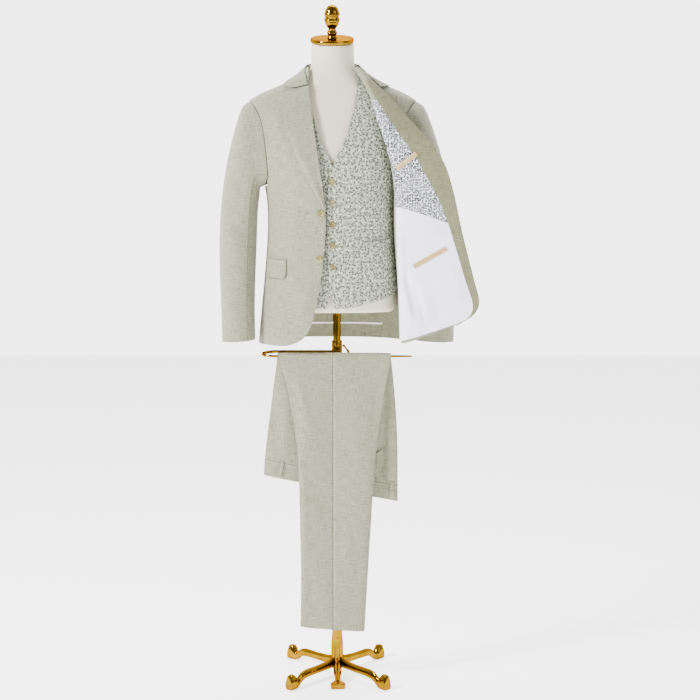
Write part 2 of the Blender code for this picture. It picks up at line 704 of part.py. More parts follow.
def make_right_lapel(panel):
    """The right lapel, rolled over onto the front and pressed flat."""
    grid = []
    for z, roll_x, outer_x, lift in RIGHT_LAPEL:
        row = []
        for share in across(0.0, 1.0, LAPEL["columns"]):
            swell = LAPEL["swell"] * math.sin(math.pi * min(share * LAPEL["early"], 1.0))
            row.append(drop(panel, mix(outer_x, roll_x, share), z,
                            LAPEL_CLOTH + LAPEL["lift"] + lift + swell))
        grid.append(row)
    top = []
    for share in across(0.0, 1.0, LAPEL["columns"]):
        tip_side = min(share / 0.5, 1.0)
        x = mix(mix(LAPEL_TOP[2][0], LAPEL_TOP[1][0], tip_side), LAPEL_TOP[0][0],
                max(0.0, share - 0.5) / 0.5)
        z = mix(mix(LAPEL_TOP[2][1], LAPEL_TOP[1][1], tip_side), LAPEL_TOP[0][1],
                max(0.0, share - 0.5) / 0.5)
        top.append(drop(panel, x, z, LAPEL_CLOTH + SEAM_GAP + LAPEL["top_lift"]))
    grid.append(top)
    wall("jacket_lapel_right", outward(grid), LAPEL_CLOTH, "cloth")


# The collar's fall, right end to centre back: (angle, height) of its roll, its middle
# and its outer edge. The left end is its own, because that front is turned back.
COLLAR_FALL = [
    # roll,          middle,           edge
    ((25.0, 1546.0), (36.0, 1534.8), (67.0, 1546.5)),
    ((45.0, 1568.0), (60.0, 1551.0), (80.0, 1551.0)),
    ((88.0, 1594.5), (90.0, 1574.0), (92.0, 1554.0)),
    ((116.0, 1601.0), (112.0, 1578.0), (108.0, 1554.0)),
    ((146.0, 1606.0), (143.0, 1580.0), (138.0, 1552.0)),
    ((180.0, 1608.0), (180.0, 1581.0), (180.0, 1551.0)),
]
LEFT_COLLAR_END = [
    ((68.0, 1564.0), (47.5, 1537.0), (82.0, 1541.5)),
    ((78.0, 1578.0), (70.0, 1554.0), (86.0, 1547.0)),
]
COLLAR_LIFT = LAPEL_CLOTH + SEAM_GAP + 2.2
COLLAR_ROWS = 5
STAND_Z = 1588.4            # the stand is sewn on top of the back's and the fronts' necklines
STAND_TOP_Z = 1606.5
COLLAR_SWELL = 2.5          # how much the fall rounds out between its roll and its edge


STAND = {"steps": 12, "from_angle": -92.0, "to_angle": -268.0, "low_out": -0.1,
         "high_out": -1.0, "end_rise": 2.0, "cloth": 1.6}


def collar_spot(stops, share):
    """The angle and height on a collar's column, 0 at its roll and 1 at its edge."""
    roll, middle, edge = stops
    if share < 0.5:
        return mix(roll, middle, share * 2)
    return mix(middle, edge, share * 2 - 1)


def make_collar():
    """The collar's fall over the shoulders and the stand that rises inside it."""
    right = [(-1, stops) for stops in COLLAR_FALL]
    left = [(1, stops) for stops in reversed(LEFT_COLLAR_END + COLLAR_FALL[2:])]
    outer, inner = [], []
    for r in range(COLLAR_ROWS):
        share = r / (COLLAR_ROWS - 1)
        stops = []
        for half in (right, left):
            for c in range(len(half) - 1):
                start = collar_spot(half[c][1], share)
                end = collar_spot(half[c + 1][1], share)
                stops += [(half[c][0], mix(start, end, part)) for part in (0.0, 0.5)]
        stops.append((1, collar_spot(left[-1][1], share)))
        lift = COLLAR_LIFT + COLLAR_SWELL * math.sin(math.pi * share)
        near, far = [], []
        for side, (angle, z) in stops:
            spot, way = skin(JACKET, z, side * angle), skin_normal(JACKET, z, side * angle)
            near.append(spot + way * lift)
            far.append(spot + way * (lift - LAPEL_CLOTH))
        outer.append(near)
        inner.append(far)
    between("jacket_collar", outer, inner, "cloth")
    low, high = [], []
    steps = STAND["steps"]
    for c, angle in enumerate(across(STAND["from_angle"], STAND["to_angle"], steps + 1)):
        low.append(skin(JACKET, STAND_Z, angle, STAND["low_out"]))
        from_end = min(1.0, c / 2, (steps - c) / 2)
        low[-1].z = mix(STAND_Z + STAND["end_rise"], STAND_Z, from_end)
        high.append(skin(JACKET, NECK_Z, angle, STAND["high_out"]))
        high[-1].z = mix(NECK_Z, STAND_TOP_Z, math.sin(math.pi * c / steps))
    stand = [low, high]
    wall("jacket_collar_stand", outward(stand), STAND["cloth"], "cloth")


LEFT_LAPEL = [
    # z,     edge of the front, how far the lapel shows past it
    (1340.0, 275.0, -9.0),
    (1390.0, 247.0, -9.0),
    (1430.0, 210.0, -9.0),
    (1465.0, 176.0, -8.0),
    (1492.0, 151.0, -4.0),
    (1505.0, 139.0, 10.0),
    (1517.0, 128.0, 25.0),
    (1527.0, 118.0, 13.0),
    (1534.0, 111.0, 1.0),
]


TUCK = {"reach": 24.0, "from_edge": 6.0, "behind": 1.9, "fall": 0.55}


def make_left_lapel(page):
    """The left lapel, behind the turned-back front, with its tip past the roll line."""
    near, far = [], []
    for z, edge_x, past in LEFT_LAPEL:
        rows = ([], [])
        for share in (0.0, 0.5, 1.0):
            x = mix(edge_x - TUCK["reach"], edge_x + past, share)
            inner_x = min(x, edge_x - TUCK["from_edge"])
            spot = drop(page, inner_x, z)
            y = spot.y + TUCK["behind"] + max(0.0, x - inner_x) * TUCK["fall"]
            rows[0].append(Vector((x, y, z)))
            rows[1].append(Vector((x, y + LAPEL_CLOTH, z)))
        near.append(rows[0])
        far.append(rows[1])
    between("jacket_lapel_left", near, far, "cloth")


def band(name, panel, start, end, width, lift, thickness, look, columns=4):
    """A straight strip on a panel, from start to end (x, z), moved out from it."""
    ahead = Vector((end[0] - start[0], 0, end[1] - start[1])).normalized()
    across = Vector((-ahead.z, 0, ahead.x)) * (width / 2)
    grid = []
    for k in (-1, 0, 1):
        row = []
        for c in range(columns):
            x, z = mix(start, end, c / (columns - 1))
            row.append(drop(panel, x + across.x * k, z + across.z * k, lift + thickness))
        grid.append(row)
    flat = [[p + Vector((0, thickness, 0)) for p in row] for row in grid]
    return between(name, grid, flat, look)


# A button's rim and dish as shares of its radius and its thickness, underside first
BUTTON_PROFILE = [(0.82, 0.0), (1.0, 0.4), (1.0, 0.75), (0.86, 1.0), (0.72, 0.72)]
BUTTON_SIDES = 14
BUTTON_LIFT = 0.4
JACKET_BUTTON = {"radius": 9.5, "thickness": 3.4}
WAISTCOAT_BUTTON = {"radius": 7.8, "thickness": 3.0}


def button(name, panel, x, z, size):
    """A rimmed disc that stands on a panel."""
    spot, normal = hit(panel, x, z)
    turn = normal.to_track_quat("Z", "Y")
    sides = BUTTON_SIDES
    points, faces = [], []
    for radius_share, height_share in BUTTON_PROFILE:
        radius = size["radius"] * radius_share
        height = size["thickness"] * height_share + BUTTON_LIFT
        for i in range(sides):
            way = 2 * math.pi * i / sides
            points.append(spot + turn @ Vector((radius * math.cos(way), radius * math.sin(way),
                                                height)))
    for r in range(len(BUTTON_PROFILE) - 1):
        for i in range(sides):
            j = (i + 1) % sides
            faces.append((r * sides + i, r * sides + j, (r + 1) * sides + j, (r + 1) * sides + i))
    faces.append(tuple(range(sides)))
    faces.append(tuple((len(BUTTON_PROFILE) - 1) * sides + i for i in range(sides)))
    return solid(name, points, faces, "horn")


FLAP = {"low": 1059.0, "high": 1108.0, "inner": -127.0, "outer": -174.5, "cloth": 2.0,
        "lift": 3.2, "corner": 7.2, "columns": 6}
FLAP_ROWS = (0.0, 0.25, 0.6, 1.0)
# name, x, z
JACKET_BUTTONS = [("jacket_button_top", -39.5, 1224.0), ("jacket_button_low", -43.5, 1108.5)]


def make_right_trims(panel):
    """The flap pocket and the two front buttons of the right front."""
    grid = []
    for share in FLAP_ROWS:
        z = mix(FLAP["low"], FLAP["high"], share)
        inset = FLAP["corner"] * max(0.0, 1.0 - share / FLAP_ROWS[1])
        grid.append([drop(panel, x, z, FLAP["lift"])
                     for x in across(FLAP["outer"], FLAP["inner"] - inset, FLAP["columns"])])
    wall("jacket_flap_right", outward(grid), FLAP["cloth"], "cloth")
    for name, x, z in JACKET_BUTTONS:
        button(name, panel, x, z, JACKET_BUTTON)


BINDING = {"low": 922.0, "high": 926.5, "from_angle": -221.0, "to_angle": -139.0,
           "lift": 1.2, "cloth": 1.0, "columns": 11}


def make_back_hem():
    """The light binding along the hem on the inside of the back."""
    angles = across(BINDING["from_angle"], BINDING["to_angle"], BINDING["columns"])
    grid = [[skin(JACKET, z, angle, -JACKET_CLOTH - BINDING["lift"]) for angle in angles]
            for z in (BINDING["low"], BINDING["high"])]
    wall("jacket_back_binding", outward(grid), BINDING["cloth"], "lining")


# ---------------------------------------------------------------- waistcoat
# The left front, a row for each level from the hem up: the front edge (or neckline)
# and the side (side seam, armhole, then shoulder seam).
WAISTCOAT_FRONT = [
    # edge x, edge z, side x, side z
    (-3.0, 982.0, 166.0, 1027.0),
    (-9.0, 1000.0, 166.0, 1042.0),
    (-17.0, 1040.0, 166.0, 1075.0),
    (-21.0, 1090.0, 166.0, 1112.0),
    (-22.0, 1145.0, 166.0, 1155.0),
    (-22.0, 1200.0, 166.0, 1202.0),
    (-22.0, 1250.0, 166.0, 1250.0),
    (-21.0, 1303.0, 166.0, 1290.0),
    (-9.0, 1345.0, 151.0, 1332.0),
    (5.0, 1373.0, 141.0, 1368.0),
    (19.0, 1400.0, 134.0, 1400.0),
    (30.0, 1434.0, 127.0, 1436.0),
    (40.0, 1470.0, 121.0, 1470.0),
    (48.0, 1505.0, 116.0, 1505.0),
    (52.0, 1545.0, 112.0, 1531.5),
    (54.0, 1566.0, 110.0, 1540.5),
    (55.0, 1586.0, 107.0, 1548.0),
]
# The hidden right front runs on under the left one as far as this x, from the hem up
UNDERLAP = (-26.0, -19.0, -8.0, 1.0, 3.0, 3.0, 3.0, 0.0)
OVERLAP_LIFT = 3.6
SIDE_SEAM_ANGLE = 89.7
NECK_BACK_Z = 1576.0
BACK_LEVELS = (0, 2, 4, 6, 7, 8, 9, 10, 11, 12, 13)      # levels of the fronts it uses
HEM_DIP = 4.0               # the points of the two fronts


WAISTCOAT_COLUMNS = 8
DIP_ROWS, DIP_EARLY = 3, 2.5
OVERLAP_X = {"gone": 42.0, "fade": 26.0}     # the lift of the overlap dies out towards the side
HALF_BACK_COLUMNS = 6


def waistcoat_front(side):
    """A grid of one waistcoat front."""
    grid = []
    for r, (edge_x, edge_z, side_x, side_z) in enumerate(WAISTCOAT_FRONT):
        if side < 0:
            edge_x = UNDERLAP[r] if r < len(UNDERLAP) else 2 * AXIS_X - edge_x
            side_x = 2 * AXIS_X - side_x
        first = angle_at_x(WAISTCOAT, edge_z, edge_x)
        last = angle_at_x(WAISTCOAT, side_z, side_x)
        last = side * min(abs(last), SIDE_SEAM_ANGLE)
        row = []
        for share in across(0.0, 1.0, WAISTCOAT_COLUMNS):
            angle, z = mix(first, last, share), mix(edge_z, side_z, share)
            if r < DIP_ROWS:
                z -= HEM_DIP * math.sin(math.pi * min(share * DIP_EARLY, 1.0))
            spot = skin(WAISTCOAT, z, angle)
            if side > 0:
                near = min(max((OVERLAP_X["gone"] - spot.x) / OVERLAP_X["fade"], 0.0), 1.0)
                spot = skin(WAISTCOAT, z, angle, OVERLAP_LIFT * near)
            row.append(spot)
        grid.append(row)
    return outward(grid)


def waistcoat_back():
    """A grid of the back: level rows up to the armholes, then rows that rise to the neck."""
    half = HALF_BACK_COLUMNS
    shares = [abs(c) / half for c in range(-half, half + 1)]
    sides = [-1] * half + [1] * (half + 1)
    levels = []
    for r in BACK_LEVELS:
        _edge_x, _edge_z, side_x, side_z = WAISTCOAT_FRONT[r]
        limit = 180.0 - min(abs(angle_at_x(WAISTCOAT, side_z, side_x)), SIDE_SEAM_ANGLE)
        levels.append([(mix(180.0, limit, share), side_z) for share in shares])
    _edge_x, neck_z, end_x, end_z = WAISTCOAT_FRONT[-1]
    top = []
    for share in shares:
        neck = min(share / 0.5, 1.0)
        rise = max(0.0, share - 0.5) / 0.5
        height = mix(mix(NECK_BACK_Z, neck_z, neck), end_z, rise)
        top.append((mix(180.0, 180.0 - SIDE_SEAM_ANGLE, neck), height))
    below = levels[-1]
    for part in (0.25, 0.5, 0.75):
        level = [mix(low, high, part) for low, high in zip(below, top)]
        x, z = mix(side_x, end_x, part), mix(side_z, end_z, part)
        spread = abs(angle_at_x(WAISTCOAT, z, x)) / (180.0 - level[0][0])
        levels.append([(180.0 - (180.0 - angle) * spread, height) for angle, height in level])
    levels.append(top)
    return [[skin(WAISTCOAT, z, side * angle) for side, (angle, z) in zip(sides, level)]
            for level in levels]


WELT = {"width": 13.0, "lift": 1.3, "cloth": 1.4, "columns": 6}
# side, inner end (x, z), outer end (x, z)
WAISTCOAT_POCKETS = [("left", (62.0, 1145.0), (135.0, 1153.0)),
                     ("right", (-82.0, 1145.0), (-155.0, 1153.0))]
WAISTCOAT_BUTTON_X = -10.5
WAISTCOAT_BUTTON_HEIGHTS = (1303.0, 1249.5, 1195.0, 1141.5, 1088.0)


def make_waistcoat():
    """Two fronts, one back, two pocket welts and five buttons."""
    fronts = {}
    for side, name in ((-1, "right"), (1, "left")):
        grid = waistcoat_front(side)
        wall("waistcoat_front_" + name, grid, WAISTCOAT_CLOTH, "waistcoat")
        fronts[name] = surface(grid)
    wall("waistcoat_back", outward(waistcoat_back()), WAISTCOAT_CLOTH, "lining")
    for name, start, end in WAISTCOAT_POCKETS:
        band("waistcoat_pocket_" + name, fronts[name], start, end, WELT["width"], WELT["lift"],
             WELT["cloth"], "waistcoat", WELT["columns"])
    for number, z in enumerate(WAISTCOAT_BUTTON_HEIGHTS, 1):
        button(f"waistcoat_button_{number}", fronts["left"], WAISTCOAT_BUTTON_X, z,
               WAISTCOAT_BUTTON)


# ---------------------------------------------------------------- dress form
FORM_SIDES = 24
FORM_HEIGHTS = [966.0, 974.0, 1000.0, 1100.0, 1190.0, 1260.0, 1330.0, 1400.0, 1450.0, 1480.0,
                1500.0, 1520.0, 1533.8, 1541.0, 1558.5, 1580.0, 1600.0, 1654.0]
NECK_TILT_FROM_Z = 1590.0
CAP_BACK = 1.5
# radius, height above the neck
CAP_PROFILE = [(54.0, 0.0), (56.5, 1.5), (56.5, 9.5), (55.0, 11.5)]
# radius, height above the cap
FINIAL_PROFILE = [
    (13.5, 0.0), (10.5, 6.0), (14.8, 13.0), (10.0, 19.0), (10.0, 24.0), (16.0, 30.0),
    (18.8, 40.0), (20.8, 43.5), (20.8, 46.0), (18.5, 49.0), (18.5, 56.0), (20.8, 59.0),
    (20.8, 61.5), (18.8, 64.0), (17.5, 72.0), (11.5, 80.0), (3.0, 83.5),
]
FINIAL_SIDES = 14


def make_form():
    """The torso form, its neck cap and its finial; the neck's top tilts forward."""
    neck_top = FORM_HEIGHTS[-1]
    points, faces = [], []
    for z in FORM_HEIGHTS:
        for i in range(FORM_SIDES):
            spot = skin(FORM, z, 360.0 * i / FORM_SIDES)
            tilt = max(0.0, (z - NECK_TILT_FROM_Z) / (neck_top - NECK_TILT_FROM_Z))
            spot.z += spot.y * math.tan(NECK_TILT) * tilt
            points.append(spot)
    for r in range(len(FORM_HEIGHTS) - 1):
        for i in range(FORM_SIDES):
            j = (i + 1) % FORM_SIDES
            faces.append((r * FORM_SIDES + i, r * FORM_SIDES + j,
                          (r + 1) * FORM_SIDES + j, (r + 1) * FORM_SIDES + i))
    faces.append(tuple(range(FORM_SIDES)))
    faces.append(tuple((len(FORM_HEIGHTS) - 1) * FORM_SIDES + i for i in range(FORM_SIDES)))
    solid("torso_form", points, faces, "form")
    up = Vector((0, -math.sin(NECK_TILT), math.cos(NECK_TILT)))
    cap_foot = Vector((AXIS_X - CAP_BACK, 0.0, neck_top)) + up * SEAM_GAP
    turned("neck_cap", CAP_PROFILE, "brass", FORM_SIDES, cap_foot, NECK_TILT)
    finial_foot = cap_foot + up * (CAP_PROFILE[-1][1] + SEAM_GAP)
    turned("finial", FINIAL_PROFILE, "brass", FINIAL_SIDES, finial_foot, NECK_TILT)


# ---------------------------------------------------------------- stand
BAR = {"rod_y": -72.0, "back_y": -17.1, "z": 857.5, "left": -165.0, "right": 190.0,
       "strap_end": 10.0, "strap_z": 863.0}
LEGS = [
    # name, foot x, foot y
    ("front_left", -118.0, -139.0),
    ("front_right", 125.0, -139.0),
    ("back_left", -124.0, 139.0),
    ("back_right", 114.0, 139.0),
]
# A leg's side view: distance along it (0 at the hub, 1 at the foot's end), underside, top
# and the full width there
LEG_PROFILE = [
    (0.00, 22.0, 47.0, 14.0), (0.12, 21.0, 42.0, 14.0), (0.40, 20.0, 39.0, 14.0),
    (0.62, 20.0, 40.0, 14.0), (0.73, 14.0, 36.0, 14.0), (0.79, 4.0, 25.0, 14.0),
    (0.83, 0.0, 22.0, 14.0), (0.87, 0.0, 34.0, 24.0), (0.92, 0.0, 40.0, 24.0),
    (0.98, 0.0, 38.0, 24.0), (1.00, 0.0, 22.0, 24.0),
]
HUB_RADIUS = 16.3
# A leg's cross section: flat underneath, round on top. Shares of half its width and height
LEG_SHAPE = [(-0.8, -1.0), (0.8, -1.0), (1.0, -0.6), (1.0, 0.35), (0.55, 0.9), (0.0, 1.0),
             (-0.55, 0.9), (-1.0, 0.35), (-1.0, -0.6)]


def leg(name, foot, length, profile):
    """A cast leg: sections from the hub out to its boot."""
    way = Vector((foot[0], foot[1], 0)).normalized()
    side = Vector((-way.y, way.x, 0))
    inner = HUB_RADIUS + SEAM_GAP
    points, faces = [], []
    for share, low, high, width in profile:
        reach = way * mix(inner, length, share)
        middle = (low + high) / 2
        rise = (high - low) / 2
        for aside, up in LEG_SHAPE:
            points.append(reach + side * (width / 2 * aside) + Vector((0, 0, middle + rise * up)))
    count = len(LEG_SHAPE)
    for r in range(len(profile) - 1):
        for i in range(count):
            j = (i + 1) % count
            faces.append((r * count + i, r * count + j, (r + 1) * count + j, (r + 1) * count + i))
    faces.append(tuple(range(count)))
    faces.append(tuple((len(profile) - 1) * count + i for i in range(count)))
    return solid(name, points, faces, "brass")


BOOT_PAST_FOOT = 9.0
# The middle front leg is seen end on: lower, cast with a swelling, and with a wide flat boot.
MIDDLE_LEG = {"foot": (3.0, -134.0), "length": 141.0}
MIDDLE_LEG_PROFILE = [
    (0.0, 20.0, 47.0, 8.0), (0.12, 18.0, 44.0, 13.0), (0.3, 14.0, 40.0, 22.0),
    (0.45, 11.0, 32.0, 22.0), (0.58, 8.0, 28.0, 13.0), (0.68, 4.0, 26.0, 17.0),
    (0.8, 2.0, 20.0, 13.0), (0.86, 0.0, 18.0, 38.0), (0.95, 0.0, 17.0, 38.0),
    (1.0, 0.0, 15.0, 38.0),
]
# radius, height
HUB_PROFILE = [
    (11.0, 12.0), (15.0, 16.0), (HUB_RADIUS, 20.0), (HUB_RADIUS, 96.0), (13.4, 102.0),
    (13.4, 131.0),
]
POLE_FOOT_Z = 600.0
CLAMP_RADIUS = 14.0
# The winged screw's path: distance from the pole, height, half width, half height
SCREW_PATH = [
    (14.4, 877.0, 3.6, 3.6), (18.5, 876.6, 3.4, 3.4), (22.5, 871.0, 2.5, 2.5),
    (26.0, 866.0, 2.5, 2.5), (28.5, 862.8, 3.9, 3.9), (31.0, 859.6, 3.9, 3.9),
    (32.2, 857.9, 2.4, 2.4),
]
BAR_STRAP, BAR_ROD, BAR_TIP = (2.6, 4.4), (3.4, 3.4), (2.0, 2.0)
BAR_BEND_STEPS = 8
BAR_RUN_IN = 12.0
BAR_TIP_LENGTH = 3.0
STRAP_MIDDLE_X = -60.0


def make_base():
    """The cast hub and its five legs."""
    turned("base_hub", HUB_PROFILE, "brass")
    for name, x, y in LEGS:
        length = math.hypot(x, y) + BOOT_PAST_FOOT
        leg("leg_" + name, (x, y), length, LEG_PROFILE)
    leg("leg_front_middle", MIDDLE_LEG["foot"], MIDDLE_LEG["length"], MIDDLE_LEG_PROFILE)


def make_poles():
    """The two poles and the clamp with its winged screw."""
    tube("pole_lower", HUB_PROFILE[-1][1] + SEAM_GAP, CLAMP_Z[0] - SEAM_GAP, TUBE_RADIUS,
         TUBE_BORE, "brass")
    pole = [(POLE_RADIUS, POLE_FOOT_Z), (POLE_RADIUS, FORM_BOTTOM_Z - SEAM_GAP)]
    turned("pole_upper", pole, "brass")
    tube("clamp", CLAMP_Z[0], CLAMP_Z[1], CLAMP_RADIUS, TUBE_BORE, "brass")
    path = [Vector((x, 0, z)) for x, z, _width, _height in SCREW_PATH]
    sizes = [(width, height) for _x, _z, width, height in SCREW_PATH]
    swept("clamp_screw", path, sizes, "brass")


def make_bar():
    """The trouser bar: a flat strap from the clamp, a half turn, then a round rod."""
    middle_y = (BAR["rod_y"] + BAR["back_y"]) / 2
    bend = (BAR["back_y"] - BAR["rod_y"]) / 2
    run_in = BAR["left"] + BAR_RUN_IN
    path = [Vector((x, BAR["back_y"], BAR["strap_z"]))
            for x in (BAR["strap_end"], STRAP_MIDDLE_X, run_in)]
    for step in range(BAR_BEND_STEPS + 1):
        turn = math.pi * step / BAR_BEND_STEPS
        path.append(Vector((BAR["left"] - bend * math.sin(turn),
                            middle_y + bend * math.cos(turn),
                            mix(BAR["strap_z"], BAR["z"], step / BAR_BEND_STEPS))))
    path += [Vector((x, BAR["rod_y"], BAR["z"]))
             for x in (run_in, 0.0, BAR["right"], BAR["right"] + BAR_TIP_LENGTH)]
    sections = [BAR_STRAP] * 3
    sections += [mix(BAR_STRAP, BAR_ROD, step / BAR_BEND_STEPS)
                 for step in range(BAR_BEND_STEPS + 1)]
    sections += [BAR_ROD] * 3 + [BAR_TIP]
    swept("trouser_bar", path, sections, "brass")


def make_stand():
    """The whole stand below the form."""
    make_base()
    make_poles()
    make_bar()


# ---------------------------------------------------------------- trousers
# They hang folded over the rod, one leg on the other: the legs in front of it, the seat
# behind. Each row gives both edges of the outer leg and how thick a folded leg is.
LEG_ROWS = [
    # z,    left,   right, thickness
    (146.0, -95.0, 72.0, 12.0),
    (290.0, -92.0, 80.0, 12.5),
    (437.0, -95.7, 89.0, 12.0),
    (585.0, -97.5, 97.5, 11.0),
    (667.0, -105.5, 107.0, 10.0),
    (745.0, -121.0, 118.0, 8.5),
    (815.0, -134.0, 131.0, 6.0),
    (848.0, -146.0, 138.0, 3.6),
]
SEAT_ROWS = [
    # z at the side seam, left, right, thickness
    (848.0, -153.0, 139.5, 3.6),
    (815.0, -157.0, 144.0, 6.0),
    (775.0, -162.5, 148.5, 7.5),
    (725.0, -168.0, 153.0, 9.0),
    (660.0, -175.5, 157.0, 10.5),
    (610.0, -181.0, 157.5, 10.5),
    (561.0, -186.0, 157.5, 10.0),
]
WAISTBAND_ROWS = [
    (560.6, -186.0, 157.5, 10.0),
    (535.0, -188.0, 158.0, 9.5),
    (511.0, -189.0, 158.0, 9.0),
]
WAIST_SLOPE = -0.198        # the seat hangs lower at the wearer's left
HEM_SLOPE = -0.075
ROD_CLEAR = 3.8             # from the rod's middle to the cloth
FOLDED = 3.2                # thickness of a leg where it lies over the rod
CREASE_SET = 0.9            # how far the hollow inside a leg reaches towards its creases
CROTCH_ROW = 2              # the legs join from this row of the seat on
PANEL_STATIONS = (0.0, 0.4, 0.74, 0.93, 1.0, 1.1, 1.45, 2.0)
INNER_LEG = {"narrower": 2.0, "shorter": 4.0}
PANEL_ENDS = (1.3, 1.14, 1.08)      # how far past its crease a panel of the seat reaches
LOOPS = [((-140.5, 583.0), (-150.0, 540.5)), ((143.0, 527.0), (143.0, 483.0))]
LOOP = {"width": 10.0, "lift": 0.9}
HIP_WELT = ((101.0, 599.0), (122.0, 612.0))
HIP_WELT_WIDTH, HIP_WELT_LIFT = 9.0, 0.4
STRIP_CLOTH = 1.2
HEM_SLOPE_FADES = 200.0     # this far above the hem
OVER_STEPS = 4              # stretches of the bend over the rod
OVER_EDGES = (-150.5, 139.0)


def leg_reach(station):
    """How far across a leg a station lies: 0 at its seams, 1 at its crease."""
    return station if station <= 1.0 else 2.0 - station


def leg_section(row, station, side, layer, depth):
    """A leg's point: how far across it lies and how far from the middle of the two."""
    _z, left, right, thick = row
    reach = leg_reach(station)
    edge = left if side < 0 else right
    hollow = thick - 2 * TROUSER_CLOTH
    bulge = math.sqrt(max(0.0, 1.0 - reach**4))
    x = AXIS_X + (edge - AXIS_X) * reach * (CREASE_SET if depth else 1.0)
    if layer:
        x -= math.copysign(INNER_LEG["narrower"] * reach, x - AXIS_X)
    if station < 1.0:
        away = TROUSER_CLOTH * (1 if depth else 2) + hollow * bulge
    elif station == 1.0:
        away = TROUSER_CLOTH
    else:
        away = TROUSER_CLOTH if depth else 0.0
    return x, SEAM_GAP / 2 + away


def place_on_rod(row, kind, turn, x, away, layer):
    """The point's place: in front of the rod, over it or behind it."""
    z, _left, _right, thick = row
    middle = ROD_CLEAR + thick + SEAM_GAP / 2
    out = middle - away if layer else middle + away
    if kind == "over":
        return Vector((x, BAR["rod_y"] - out * math.cos(turn), BAR["z"] + out * math.sin(turn)))
    if kind == "front":
        low = max(0.0, 1.0 - (z - LEG_ROWS[0][0]) / HEM_SLOPE_FADES)
        rise = HEM_SLOPE * (x - AXIS_X) * low
        rise += INNER_LEG["shorter"] * low if layer else 0.0
        return Vector((x, BAR["rod_y"] - out, z + rise))
    low = min(1.0, (SEAT_ROWS[0][0] - z) / (SEAT_ROWS[0][0] - SEAT_ROWS[-1][0]))
    return Vector((x, BAR["rod_y"] + out, z + WAIST_SLOPE * (x - AXIS_X) * low))


def trouser_rows():
    """All rows of a leg, from the hem up over the rod and down to the waist."""
    rows = [(row, "front", 0.0) for row in LEG_ROWS]
    for share in across(0.0, 1.0, OVER_STEPS + 1):
        left, right = (mix(LEG_ROWS[-1][k], SEAT_ROWS[0][k], share) for k in (1, 2))
        left, right = min(left, OVER_EDGES[0]), max(right, OVER_EDGES[1])
        rows.append(((0.0, left, right, FOLDED), "over", math.pi * share))
    return rows + [(row, "back", 0.0) for row in SEAT_ROWS]


def panel_end(row, kind):
    """The station where a panel ends: its inseam, or the centre seam above the crotch."""
    if row in WAISTBAND_ROWS:
        return PANEL_ENDS[-1]
    place = SEAT_ROWS.index(row) - CROTCH_ROW if kind == "back" else -1
    return PANEL_ENDS[min(place, len(PANEL_ENDS) - 1)] if place >= 0 else 2.0


def trouser_panel(side, layer, rows):
    """The outer and inner points of one panel of one leg."""
    outer, inner = [], []
    for row, kind, turn in rows:
        end = panel_end(row, kind)
        near, far = [], []
        for station in PANEL_STATIONS:
            if station > 1.0:
                station = 1.0 + (station - 1.0) * (end - 1.0)
            gap = side * SEAM_GAP / 2 if station in (0.0, 2.0) else 0.0
            for points, depth in ((near, 0), (far, 1)):
                x, away = leg_section(row, station, side, layer, depth)
                points.append(place_on_rod(row, kind, turn, x + gap, away, layer))
        outer.append(near)
        inner.append(far)
    return outer, inner


def joined(front, back):
    """Two panels' rows as one, from the front's far end over the side to the back's."""
    return [left[:0:-1] + right for left, right in zip(front, back)]


def patch(grid, start, end, width, count=4):
    """A strip on a grid, from start to end (x, z), kept to the grid's surface."""
    panel = surface(grid)
    rows = []
    ahead = Vector((end[0] - start[0], 0, end[1] - start[1])).normalized()
    across = Vector((-ahead.z, 0, ahead.x)) * (width / 2)
    for step in range(count):
        x, z = mix(start, end, step / (count - 1))
        rows.append([drop(panel, x + across.x * k, z + across.z * k) for k in (-1, 0, 1)])
    return rows


def make_trousers():
    """Four leg panels, the two halves of the waistband, its loops and the hip welts."""
    seat = {}
    for layer, leg_name in ((0, "left"), (1, "right")):
        for side, name in ((-1, "front"), (1, "back")):
            outer, inner = trouser_panel(side, layer, trouser_rows())
            between(f"trouser_{name}_{leg_name}", outer, inner, "cloth")
            seat[layer, side] = [line[:5] for line in outer[-4:]]
        rows = [(row, "back", 0.0) for row in WAISTBAND_ROWS]
        halves = [trouser_panel(side, layer, rows) for side in (-1, 1)]
        outer = joined(halves[0][0], halves[1][0])
        between("waistband_" + leg_name, outer, joined(halves[0][1], halves[1][1]), "cloth")
        for number, (start, end) in enumerate(LOOPS):
            strip = patch([line[2:-2] for line in outer], start, end, LOOP["width"])
            add_strip(f"belt_loop_{leg_name}_{number + 1}", strip, layer, LOOP["lift"])
        strip = patch(seat[layer, 1], *HIP_WELT, HIP_WELT_WIDTH)
        add_strip("hip_welt_" + leg_name, strip, layer, HIP_WELT_LIFT)


def add_strip(name, strip, layer, lift):
    """A thin strip lying on the outside of one leg's seat."""
    way = Vector((0, -1.0 if layer else 1.0, 0))
    near = [[spot + way * lift for spot in line] for line in strip]
    far = [[spot + way * (lift + STRIP_CLOTH) for spot in line] for line in strip]
    between(name, far, near, "cloth")


def centre_on_floor():
    """Everything is moved so that the feet stand on z = 0, with the middle over the origin."""
    low, high = Vector((math.inf,) * 3), Vector((-math.inf,) * 3)
    for piece in bpy.data.objects:
        for vertex in piece.data.vertices:
            for axis in range(3):
                low[axis] = min(low[axis], vertex.co[axis])
                high[axis] = max(high[axis], vertex.co[axis])
    shift = Vector((-(low.x + high.x) / 2, -(low.y + high.y) / 2, -low.z))
    for piece in bpy.data.objects:
        piece.data.transform(Matrix.Translation(shift))


TAPE_CLOTH = 1.4
INSIDE_POCKETS = [
    # name, inner end (x, z), outer end (x, z), width, lift
    ("jacket_pocket_upper", (151.0, 1336.0), (200.0, 1374.0), 12.0, 0.9),
    ("jacket_pocket_lower", (195.0, 1089.0), (277.0, 1136.0), 11.0, 0.6),
]


